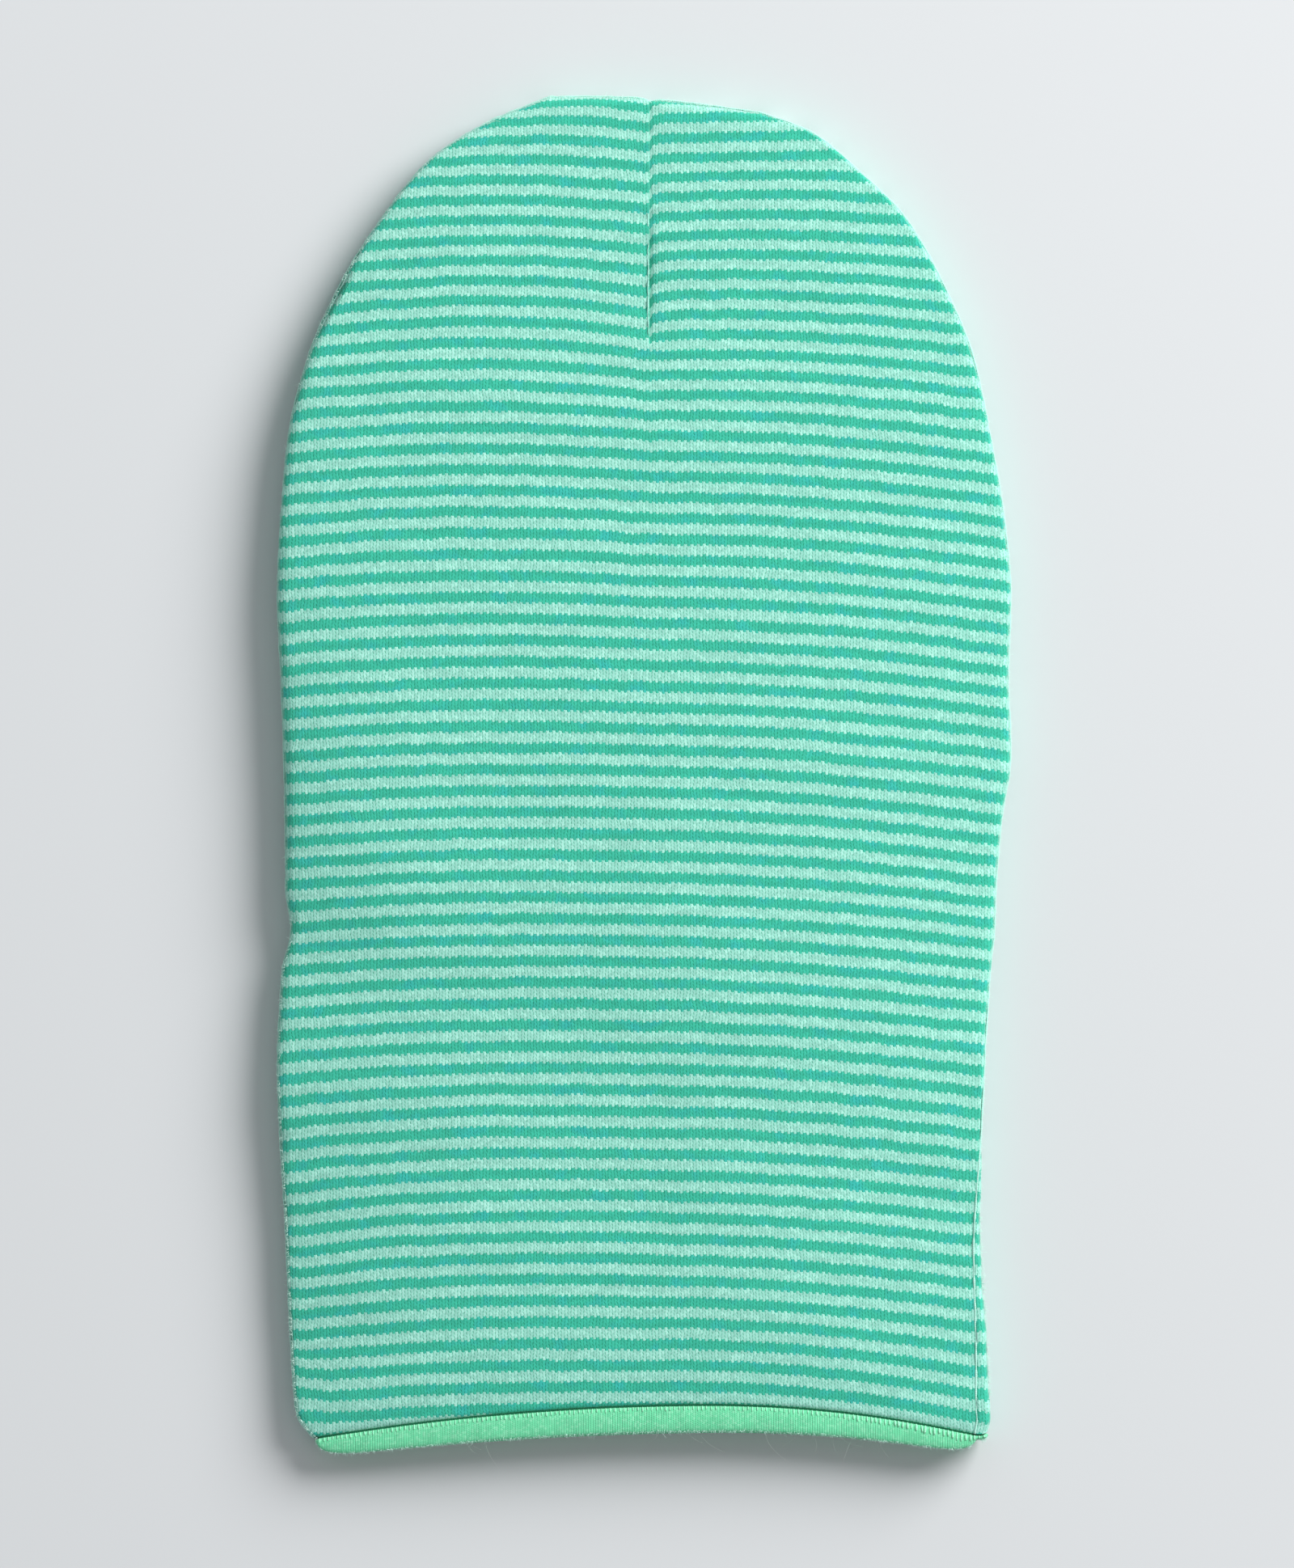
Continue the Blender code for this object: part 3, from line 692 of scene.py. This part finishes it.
def tube_grid(path, radii, sides, closed):
    """Points, faces and map of a round thread along a path. radii is its thickness at each point."""
    ahead = np.roll(path, -1, axis=0) - np.roll(path, 1, axis=0)
    if not closed:
        ahead[0] = path[1] - path[0]
        ahead[-1] = path[-1] - path[-2]
    ahead = unit(ahead)
    beside = unit(np.cross(ahead, [0.0, 0.0, 1.0]))
    above = np.cross(beside, ahead)
    turns = np.linspace(0, 2 * math.pi, sides, endpoint=False)
    ring = beside[:, None, :] * np.cos(turns)[None, :, None]
    ring = ring + above[:, None, :] * np.sin(turns)[None, :, None]
    points = (path[:, None, :] + ring * radii[:, None, None]).reshape(-1, 3)
    index = np.arange(len(path) * sides).reshape(len(path), sides)
    following = np.roll(index, -1, axis=0)
    corners = [index, following, np.roll(following, -1, axis=1), np.roll(index, -1, axis=1)]
    faces = np.stack(corners, axis=-1)
    if closed:
        faces = faces.reshape(-1, 4)
    else:
        across = [[k, k + 1, sides - 2 - k, sides - 1 - k] for k in range(sides // 2 - 1)]
        last = index[-1, 0] + np.array(across)[:, ::-1]
        faces = np.concatenate([faces[:-1].reshape(-1, 4), across, last])
    lengths = path_lengths(path)
    u = np.broadcast_to((lengths / WALE)[:, None], index.shape).ravel()
    v = np.broadcast_to((turns / math.pi)[None, :], index.shape).ravel()
    return points, faces, np.stack([u, v], axis=-1)


def threads(name, tubes):
    """One object of many threads, each a path, its radii, its sides and whether it is closed."""
    points, faces, maps = [], [], []
    count = 0
    for path, radii, sides, closed in tubes:
        p, f, uv = tube_grid(path, radii, sides, closed)
        points.append(p)
        faces.append(f + count)
        maps.append(uv)
        count += len(p)
    faces = np.concatenate(faces)
    return knit_mesh(name, np.concatenate(points), faces, np.concatenate(maps)[faces])


def wander(random, count, every, size):
    """Smooth random values for count points, with a new one every few points."""
    knots = np.arange(0, count + every, every)
    return np.interp(np.arange(count), knots, random.normal(0, size, len(knots)))


def even_path(path, spacing):
    """The same path with evenly spaced points."""
    lengths = path_lengths(path)
    places = np.linspace(0, lengths[-1], int(lengths[-1] / spacing) + 2)
    return read_path(places, lengths, path)


def side_seam_path(past_edge=0.0):
    """The back's edge from the left neck corner round the crown to the right one, or a line just past it."""
    along = rows_along(BODY_ROWS)
    x, z = top_lines(along)
    lengths = lengths_along(x, z)
    whole = lengths[:, -1]
    end = whole - seam_wrap(along) + past_edge
    sides = []
    for places, below in ((0 * end, past_edge), (np.minimum(end, whole), np.maximum(end - whole, 0.0))):
        px, pz = (column[:, 0] for column in read_lines(places[:, None], lengths, x, z))
        sides.append(np.stack([px, lengthwise(px, along), pz - below], axis=1))
    left, right = sides
    crown_x = np.linspace(left[-1, 0], right[-1, 0], CROWN_STATIONS)[1:-1]
    crown_y = lengthwise(crown_x, 1.0)
    crown = np.stack([crown_x, crown_y, np.full(len(crown_x), UPPER_SEAM - past_edge)], axis=1)
    return even_path(np.concatenate([left, crown, right[::-1]]), SEAM_THREAD_SPACING)


def side_seam():
    """Pale overlock thread in the side seam, seen as a thin line along the outline."""
    random = np.random.default_rng(21)
    path = side_seam_path(PIECE_GAP / 2)
    count = len(path)
    _, outward = ways_of(path)
    # On the walls the thread stands out a little, and on top it lies almost sunk between the two edges
    turned = np.clip((path[:, 2] - UPPER_SEAM) / (4 * MM), 0.0, 1.0) ** 4
    aside = SEAM_THREAD_OUT * (1 - turned)
    path = path + outward * (aside + wander(random, count, 3, 0.03 * MM))[:, None]
    path[:, 2] += wander(random, count, 4, 0.04 * MM) * (1 - 0.5 * turned) - SEAM_THREAD_SUNK * turned
    uneven = 1 + np.clip(wander(random, count, 2, 0.25), -0.3, 0.4)
    radii = SEAM_THREAD * uneven * (1 + 0.25 * turned)
    return threads("side_seam_thread", [(path, radii, 6, False)])


def neck_stations(count):
    """Points of the neck seam and the ways into the cloth, over the back and then under the front."""
    stations = []
    for lines, underneath in ((top_lines, False), (floor_lines, True)):
        x, z = (line[0] for line in lines(np.array([0.0])))
        lengths = lengths_along(x[None, :], z[None, :])[0]
        places = np.linspace(0, lengths[-1], count)
        if underneath:
            places = places[::-1]
        px = np.interp(places, lengths, x)
        pz = np.interp(places, lengths, z)
        low = np.clip(places - SLOPE_STEP, 0, lengths[-1] - 2 * SLOPE_STEP)
        high = low + 2 * SLOPE_STEP
        slope_x = np.interp(high, lengths, x) - np.interp(low, lengths, x)
        slope_z = np.interp(high, lengths, z) - np.interp(low, lengths, z)
        side = 1.0 if underneath else -1.0
        inward = unit(np.column_stack([-slope_z, np.zeros_like(px), slope_x]) * side)
        stations.append((np.column_stack([px, lengthwise(px, 0.0, underneath), pz]), inward))
    return [np.concatenate(parts) for parts in zip(*stations)]


def hem_stations():
    """The neck seam over the back, and the ways into the cloth."""
    return [part[:HEM_STATIONS] for part in neck_stations(HEM_STATIONS)]


def hem_shade_thread():
    """Thread deep in the neck seam, which closes the gap between the cloth and its binding, coloured near-black
    as painted shade of the crease.
    """
    seam, inward = neck_stations(HEM_THREAD_STATIONS)
    middle = seam + inward * HEM_THREAD_DEPTH
    middle[:, 1] -= PIECE_GAP / 2
    return threads("hem_shade_thread", [(middle, np.full(len(middle), HEM_THREAD), 8, True)])


def hem_stitches():
    """Short pale stitches across the binding's seam edge, longer and fuller towards the right corner."""
    random = np.random.default_rng(12)
    seam, inward = hem_stations()
    lengths = path_lengths(seam)
    places = np.arange(STITCH_FIRST, lengths[-1] - STITCH_FIRST, STITCH_PITCH)
    places = places + random.normal(0, 0.06 * MM, len(places))
    tubes = []
    for at in places:
        root = read_path(at, lengths, seam)
        into = read_path(at, lengths, inward)
        fuller = 1 + 0.6 * np.clip((root[0] - STITCH_FULLER_X) / STITCH_FULLER_REACH, 0.0, 1.0)
        length = STITCH_LENGTH * fuller * random.uniform(0.75, 1.2)
        radius = STITCH_THREAD * fuller * random.uniform(0.7, 1.1)
        lean = random.normal(0, 0.06)
        width = binding_width(root[0])
        path = []
        for reach in np.linspace(STITCH_LEAST, min(length, 0.6 * width), 5):
            depth = band_depth(reach / width) - 0.35 * radius
            path.append(root + [lean * reach, -PIECE_GAP - reach, 0.0] + into * depth)
        tubes.append((np.array(path), radius * np.array([0.7, 1.0, 1.0, 0.85, 0.45]), 6, False))
    return threads("hem_stitches", tubes)


def dart_thread():
    """Pale edge of the fold on the left of the dart, with small stitches in it."""
    random = np.random.default_rng(4)
    along = np.linspace(1 - DART_LENGTH * 0.97 / PANEL_LENGTH, DART_OPEN, DART_STATIONS)
    x, z = top_lines(along)
    lengths = lengths_along(x, z)
    dart = read_rows(np.full(len(x), DART_X - DART_EDGE_X), x, lengths)
    px, pz = read_lines(dart[:, None], lengths, x, z)
    px = px[:, 0] + wander(random, len(along), 5, 0.05 * MM)
    py = lengthwise(px, along)
    fall = 0.5 * DART_FALL * dart_fade(along) * roll(along, CROWN_ROLL)
    height = pz[:, 0] - fall + DART_THREAD_RISE
    path = even_path(np.stack([px, py, height], axis=1), DART_THREAD_SPACING)
    count = len(path)
    path[:, 2] += wander(random, count, 3, 0.03 * MM)
    radii = DART_THREAD * (1 + np.clip(wander(random, count, 2, 0.35), -0.6, 0.7))
    radii *= np.clip(np.minimum(np.arange(count), np.arange(count)[::-1]) / 8, 0.15, 1.0)
    return threads("dart_edge_thread", [(path, radii, 6, False)])


def fibre(random, start, way, length, curl, radius, points):
    """Path and radii of one loose fibre that curls as it goes."""
    steps = np.linspace(0, 1, points)
    way = way / np.linalg.norm(way)
    side = np.cross(way, [0.0, 0.0, 1.0])
    bend = random.normal(0, curl)
    twist = random.normal(0, curl * 0.5)
    path = start + length * (steps[:, None] * way + side * (bend * steps**2 + twist * steps**3)[:, None])
    path[:, 2] += length * random.normal(0, 0.15) * steps**2
    path[:, 2] = np.maximum(path[:, 2], radius)
    return path, radius * (1 - 0.6 * steps), 4, False


def fuzz():
    """Short loose fibres along the outline and under the binding's edge."""
    random = np.random.default_rng(33)
    tubes = []
    seam = side_seam_path()
    ahead, outward = ways_of(seam)
    # Where the seam has turned onto the back, the fibres still stand on the outline
    share = np.clip((seam[:, 1] - NECK_Y) / PANEL_LENGTH, 0.0, 1.0)
    turned = seam[:, 2] > UPPER_SEAM + 0.5 * MM
    seam[turned, 0] = half_widths(share[turned])[1]
    seam[turned, 2] = UPPER_SEAM
    for _ in range(FUZZ_SIDE):
        k = random.integers(0, len(seam) - 1)
        way = outward[k] + ahead[k] / np.linalg.norm(ahead[k]) * random.normal(0, 0.9) + [0.0, 0.0, 0.3]
        start = seam[k] - outward[k] * FUZZ_ROOT + ahead[k] * random.uniform(-0.5, 0.5)
        start = start + [0.0, 0.0, random.uniform(0.0, 4.0) * MM]
        tubes.append(fibre(random, start, way, random.uniform(*FUZZ_SIDE_MM) * MM, 0.6, FIBRE, 3))
    rim, inward = hem_stations()
    width = binding_width(rim[:, 0])
    for _ in range(FUZZ_HEM):
        k = random.integers(0, HEM_STATIONS)
        start = rim[k] + inward[k] * BINDING_THICKNESS * random.uniform(0.1, 0.6)
        start = start - [0.0, PIECE_GAP + width[k] * random.uniform(0.9, 0.98), 0.0]
        way = np.array([random.normal(0, 1.0), -1.0, 0.35])
        tubes.append(fibre(random, start, way, random.uniform(*FUZZ_HEM_MM) * MM, 0.6, FIBRE, 3))
    return threads("edge_fuzz", tubes)


def lint():
    """A few long hairs that stand out from the hem, most of them near its right end."""
    random = np.random.default_rng(58)
    rim, inward = hem_stations()
    width = binding_width(rim[:, 0])
    tubes = []
    for centre, spread, count in LINT_PLACES:
        for _ in range(count):
            x = centre * MM + random.normal(0, spread * MM)
            k = int(np.argmin(np.abs(rim[:, 0] - x)))
            start = rim[k] + inward[k] * BINDING_THICKNESS * 0.6 - [0.0, PIECE_GAP + width[k] * 0.95, 0.0]
            way = np.array([random.normal(0, 0.9), -1.0, -0.5])
            tubes.append(fibre(random, start, way, random.uniform(*LINT_MM) * MM, 0.9, LINT_RADIUS, 9))
    return threads("lint", tubes)


class Wiring:
    """Short calls that add and link a material's nodes."""

    def __init__(self, name):
        self.material = bpy.data.materials.new(name)
        self.material.use_nodes = True
        self.tree = self.material.node_tree
        self.shader = self.tree.nodes["Principled BSDF"]

    def node(self, kind, inputs, output=0, **settings):
        node = self.tree.nodes.new(kind)
        for key, value in settings.items():
            setattr(node, key, value)
        for key, value in inputs.items():
            if isinstance(value, bpy.types.NodeSocket):
                self.tree.links.new(value, node.inputs[key])
            else:
                node.inputs[key].default_value = value
        return node.outputs[output]

    def math(self, operation, *values):
        return self.node("ShaderNodeMath", dict(enumerate(values)), operation=operation)

    def plus(self, a, b):
        return self.math("ADD", a, b)

    def minus(self, a, b):
        return self.math("SUBTRACT", a, b)

    def times(self, a, b):
        return self.math("MULTIPLY", a, b)

    def floor(self, a):
        return self.math("FLOOR", a)

    def mix(self, factor, a, b, blend="MIX"):
        inputs = {0: factor, 6: a, 7: b}
        return self.node("ShaderNodeMix", inputs, output=2, data_type="RGBA", blend_type=blend)

    def spread(self, value, low, high, to_low, to_high):
        inputs = {"Value": value, "From Min": low, "From Max": high, "To Min": to_low, "To Max": to_high}
        return self.node("ShaderNodeMapRange", inputs)

    def vector(self, x, y, z=0.0):
        return self.node("ShaderNodeCombineXYZ", {0: x, 1: y, 2: z})

    def noise(self, vector, scale=1.0):
        return self.node("ShaderNodeTexNoise", {"Vector": vector, "Scale": scale, "Detail": 2.0})

    def chance(self, vector, dimensions):
        return self.node("ShaderNodeTexWhiteNoise", {"Vector": vector}, noise_dimensions=dimensions)

    def shaded(self, colour, shade):
        return self.mix(1.0, colour, self.vector(shade, shade, shade), "MULTIPLY")

    def knit_map(self):
        """u and v of the map Knit, in wales and courses."""
        split = self.tree.nodes.new("ShaderNodeSeparateXYZ")
        self.tree.links.new(self.node("ShaderNodeUVMap", {}, uv_map="Knit"), split.inputs[0])
        return split.outputs[0], split.outputs[1]

    def finish(self, colour, height, distance, strength, roughness, sheen):
        bump = self.node("ShaderNodeBump", {"Height": height, "Distance": distance, "Strength": strength})
        self.tree.links.new(colour, self.shader.inputs["Base Color"])
        self.tree.links.new(bump, self.shader.inputs["Normal"])
        self.shader.inputs["Roughness"].default_value = roughness
        self.shader.inputs["Specular IOR Level"].default_value = 0.2
        self.shader.inputs["Sheen Weight"].default_value = sheen
        self.shader.inputs["Sheen Roughness"].default_value = 0.45
        return self.material


# Colours, linear
MINT = (0.32, 0.72, 0.614, 1.0)
MINT_PALE = (0.46, 0.83, 0.743, 1.0)
TEAL = (0.046, 0.493, 0.35, 1.0)
TEAL_BLUE = (0.041, 0.486, 0.477, 1.0)
BINDING_GREEN = (0.165, 0.72, 0.40, 1.0)
BINDING_PALE = (0.33, 0.86, 0.56, 1.0)
THREAD_SHADE = (0.25, 0.68, 0.56, 1.0)
THREAD_PALE = (0.4, 0.8, 0.7, 1.0)
SEAM_SHADE = (0.35, 0.75, 0.64, 1.0)
SEAM_PALE = (0.51, 0.87, 0.77, 1.0)
FUZZ_SHADE = (0.55, 0.9, 0.8, 1.0)
FUZZ_PALE = (0.8, 0.98, 0.92, 1.0)
STITCH_GREEN = (0.27, 0.84, 0.52, 1.0)
STITCH_PALE = (0.5, 0.95, 0.72, 1.0)
# The hem thread's two colours are painted shade: near-black green for the dark crease at the neck seam
HEM_SHADE_DARK = (0.008, 0.12, 0.06, 1.0)
HEM_SHADE_GREEN = (0.02, 0.26, 0.13, 1.0)
LINT_GREY = (0.55, 0.6, 0.58, 1.0)
LINT_WHITE = (0.85, 0.88, 0.86, 1.0)
FLOOR_COLOUR = (0.70, 0.73, 0.76, 1.0)

# Loops, as shares of a wale or a course, and the heights of the bumps in metres
LOOP_SLANT = 0.35
HOLE_WIDTH = 0.27
HOLE_LENGTH = 0.42
HOLE_SLANT = 1.1
WALE_GROOVE = 0.15
# Colour the knit's holes are multiplied by: painted shade in the hollows, tinted green
HOLE_SHADE = (0.42, 0.76, 0.62, 1.0)
KNIT_BUMP = 0.00014
BINDING_BUMP = 0.00018
TWIST_BUMP = 0.00004
FIBRE_BUMP = 0.000005


def loops(w, u, v, offset, half):
    """Nodes of knitted loops: height of the yarn over the holes, course, and chance for each loop.

    A hole lies between two wales at each course, and the holes on its two sides lie half a course off it.
    """
    wale = w.floor(u)
    shifted = w.plus(v, w.times(w.math("FLOORED_MODULO", wale, 2.0), offset))
    from_middle = w.math("ABSOLUTE", w.minus(w.math("FRACT", u), 0.5))
    slanted = w.plus(shifted, w.times(from_middle, LOOP_SLANT))
    course = w.floor(w.plus(slanted, half - offset / 2 - LOOP_SLANT / 4))
    chance = w.chance(w.vector(wale, course), "2D")
    gap = w.math("FLOORED_MODULO", w.floor(w.plus(u, 0.5)), 2.0)
    from_gap = w.minus(0.5, from_middle)
    hole_course = w.plus(v, w.times(gap, 0.5))
    aside = w.minus(w.math("FRACT", w.plus(u, 0.5)), 0.5)
    lean = w.times(aside, w.spread(gap, 0.0, 1.0, -HOLE_SLANT, HOLE_SLANT))
    from_hole = w.plus(w.minus(w.math("FRACT", hole_course), 0.5), lean)
    across = w.times(w.math("POWER", from_gap, 2.0), HOLE_WIDTH**-2)
    lengthways = w.times(w.times(from_hole, from_hole), HOLE_LENGTH**-2)
    hole = w.math("MAXIMUM", w.minus(1.0, w.plus(across, lengthways)), 0.0)
    depth = w.chance(w.vector(w.floor(w.plus(u, 0.5)), w.floor(hole_course), 7.0), "3D")
    hole = w.times(hole, w.spread(depth, 0.0, 1.0, 0.55, 1.0))
    groove = w.spread(from_gap, 0.0, HOLE_WIDTH, WALE_GROOVE, 0.0)
    height = w.minus(w.minus(1.0, hole), groove)
    return height, course, chance


def striped_material():
    """Interlock in mint and teal, three courses a colour, each second wale half a course lower."""
    w = Wiring("striped_interlock")
    u, v = w.knit_map()
    sway = w.noise(w.vector(w.times(u, 0.09), w.times(v, 0.2)))
    u = w.plus(u, w.spread(sway, 0.3, 0.7, -0.3, 0.3))
    ripple = w.noise(w.vector(w.times(u, 0.16), w.times(v, 0.03), 5.0))
    v = w.plus(v, w.spread(ripple, 0.3, 0.7, -0.3, 0.3))
    half = COURSES_PER_STRIPE / 2
    height, course, chance = loops(w, u, v, 0.5, half / 2)
    is_mint = w.math("LESS_THAN", w.math("FLOORED_MODULO", course, float(COURSES_PER_STRIPE)), half)
    streak = w.noise(w.vector(w.times(u, 0.05), w.times(v, 0.8)))
    patch = w.noise(w.vector(u, v), 0.16)
    speck = w.noise(w.vector(u, v), 3.2)
    mint = w.mix(w.spread(chance, 0.5, 1.0, 0.0, 0.5), MINT, MINT_PALE)
    teal = w.mix(w.spread(patch, 0.5, 0.7, 0.0, 0.65), TEAL, TEAL_BLUE)
    colour = w.mix(is_mint, teal, mint)
    # The holes and wale grooves are painted darker and greener: painted shade in the knit's hollows
    hole_shaded = w.mix(1.0, colour, HOLE_SHADE, "MULTIPLY")
    colour = w.mix(height, hole_shaded, colour)
    shade = w.spread(chance, 0.0, 1.0, 0.96, 1.12)
    shade = w.times(shade, w.spread(streak, 0.3, 0.7, 0.95, 1.06))
    shade = w.times(shade, w.spread(speck, 0.3, 0.7, 0.9, 1.1))
    return w.finish(w.shaded(colour, shade), height, KNIT_BUMP, 0.5, 0.9, 0.25)


def binding_material():
    """Light green jersey: plain loops in close wales, a little glossier."""
    w = Wiring("green_jersey")
    u, v = w.knit_map()
    height, _, chance = loops(w, u, v, 0.0, 0.0)
    patch = w.noise(w.vector(w.times(u, 0.3), w.times(v, 0.15)))
    colour = w.mix(w.spread(chance, 0.5, 1.0, 0.0, 0.6), BINDING_GREEN, BINDING_PALE)
    # Darker in the loops' hollows and a little lighter on their tops: painted shade and light; the patches are
    # random tone
    hollow_shade = w.spread(height, 0.0, 0.75, 0.84, 1.03)
    shade = w.times(hollow_shade, w.spread(patch, 0.3, 0.7, 0.9, 1.07))
    return w.finish(w.shaded(colour, shade), height, BINDING_BUMP, 0.6, 0.85, 0.25)


def thread_material(name, dark, light, twist_height=TWIST_BUMP):
    """Spun yarn: a darker and a lighter colour, painted shade in the twist's grooves and painted light on its
    ridges, with random unevenness.
    """
    w = Wiring(name)
    u, v = w.knit_map()
    twist = w.math("SINE", w.times(w.plus(w.times(u, 3.0), v), math.pi))
    uneven = w.noise(w.vector(u, w.times(v, 0.3)), 0.8)
    # Lighter where the twist's bump is high and darker where it is low: painted light and shade; the noise is
    # random tone
    mixed = w.plus(w.spread(twist, -1.0, 1.0, 0.0, 0.5), w.spread(uneven, 0.3, 0.7, 0.0, 0.5))
    return w.finish(w.mix(mixed, dark, light), twist, twist_height, 0.5, 0.85, 0.2)


def floor():
    """Pale grey floor, much wider than the camera's view."""
    mesh = bpy.data.meshes.new("floor")
    corners = [(-1, -1), (1, -1), (1, 1), (-1, 1)]
    mesh.from_pydata([(x * FLOOR_REACH, y * FLOOR_REACH, FLOOR_Z) for x, y in corners], [], [(0, 1, 2, 3)])
    obj = place("floor", mesh)
    w = Wiring("floor_paper")
    w.shader.inputs["Base Color"].default_value = FLOOR_COLOUR
    w.shader.inputs["Roughness"].default_value = 0.9
    w.shader.inputs["Specular IOR Level"].default_value = 0.1
    mesh.materials.append(w.material)


# The camera's height, and the photo's frame and where the cap lies in it
CAMERA_Z = 2.5
PHOTO_WIDTH = 1600
PHOTO_HEIGHT = 1939
CAP_TOP_PX = 120
CAP_BOTTOM_PX = 1797
CAP_MIDDLE_PX = 796.5


def camera():
    """Straight above, with the cap as large and as far from the frame's edges as in the photo."""
    pixel = CAP_LENGTH / (CAP_BOTTOM_PX - CAP_TOP_PX)
    data = bpy.data.cameras.new("camera")
    data.type = "ORTHO"
    data.ortho_scale = PHOTO_HEIGHT * pixel
    obj = place("camera", data)
    x = (PHOTO_WIDTH / 2 - CAP_MIDDLE_PX) * pixel
    y = ((CAP_TOP_PX + CAP_BOTTOM_PX) / 2 - PHOTO_HEIGHT / 2) * pixel
    obj.location = (x, y, CAMERA_Z)
    bpy.context.scene.camera = obj


# The key light: its turn and rise round the cap, how far off and how wide it is, and its power
KEY_TURN = math.radians(40)
KEY_RISE = math.radians(31.5)
KEY_DISTANCE = 2.6
KEY_SIZE = 1.9
KEY_POWER = 97.0
KEY_COLOUR = (1.0, 0.985, 0.96)
SKY = (1.0, 1.0, 1.0, 1.0)
SKY_STRENGTH = 0.38


def light():
    """One soft light from the upper right and an even pale surround."""
    data = bpy.data.lights.new("key", "AREA")
    data.shape = "DISK"
    data.size = KEY_SIZE
    data.energy = KEY_POWER
    data.color = KEY_COLOUR
    obj = place("key", data)
    level = math.cos(KEY_RISE) * KEY_DISTANCE
    obj.location = (level * math.cos(KEY_TURN), level * math.sin(KEY_TURN), math.sin(KEY_RISE) * KEY_DISTANCE)
    obj.rotation_euler = (math.pi / 2 - KEY_RISE, 0, KEY_TURN + math.pi / 2)
    world = bpy.data.worlds.new("surround")
    world.use_nodes = True
    background = world.node_tree.nodes["Background"]
    background.inputs["Color"].default_value = SKY
    background.inputs["Strength"].default_value = SKY_STRENGTH
    bpy.context.scene.world = world
    bpy.context.scene.view_settings.view_transform = "Standard"


def add(obj, material, node=None):
    """Hangs a piece on the body, in place of the plain solid of a node where one is named."""
    obj.data.materials.clear()
    obj.data.materials.append(material)
    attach(obj, "root")
    if node:
        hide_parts(node)


def main():
    """Builds the pieces, hangs them on the body, and sets the floor, the light and the camera."""
    striped = striped_material()
    green = binding_material()
    back = back_knit()
    front = front_knit()
    neck = neck_band()
    face = face_band()
    add(back, striped, "back_panel")
    add(front, striped, "front_panel")
    add(neck, green, "neck_binding")
    add(face, green, "face_binding")
    pale = thread_material("pale_thread", THREAD_SHADE, THREAD_PALE)
    add(side_seam(), thread_material("seam_thread", SEAM_SHADE, SEAM_PALE))
    add(dart_thread(), pale)
    # A near-black thread in the neck seam: painted shade of the crease
    add(hem_shade_thread(), thread_material("hem_shade_thread", HEM_SHADE_DARK, HEM_SHADE_GREEN))
    add(hem_stitches(), thread_material("hem_stitch", STITCH_GREEN, STITCH_PALE))
    add(fuzz(), thread_material("loose_fibre", FUZZ_SHADE, FUZZ_PALE, FIBRE_BUMP))
    add(lint(), thread_material("lint_hair", LINT_GREY, LINT_WHITE, FIBRE_BUMP))
    floor()
    light()
    camera()


main()
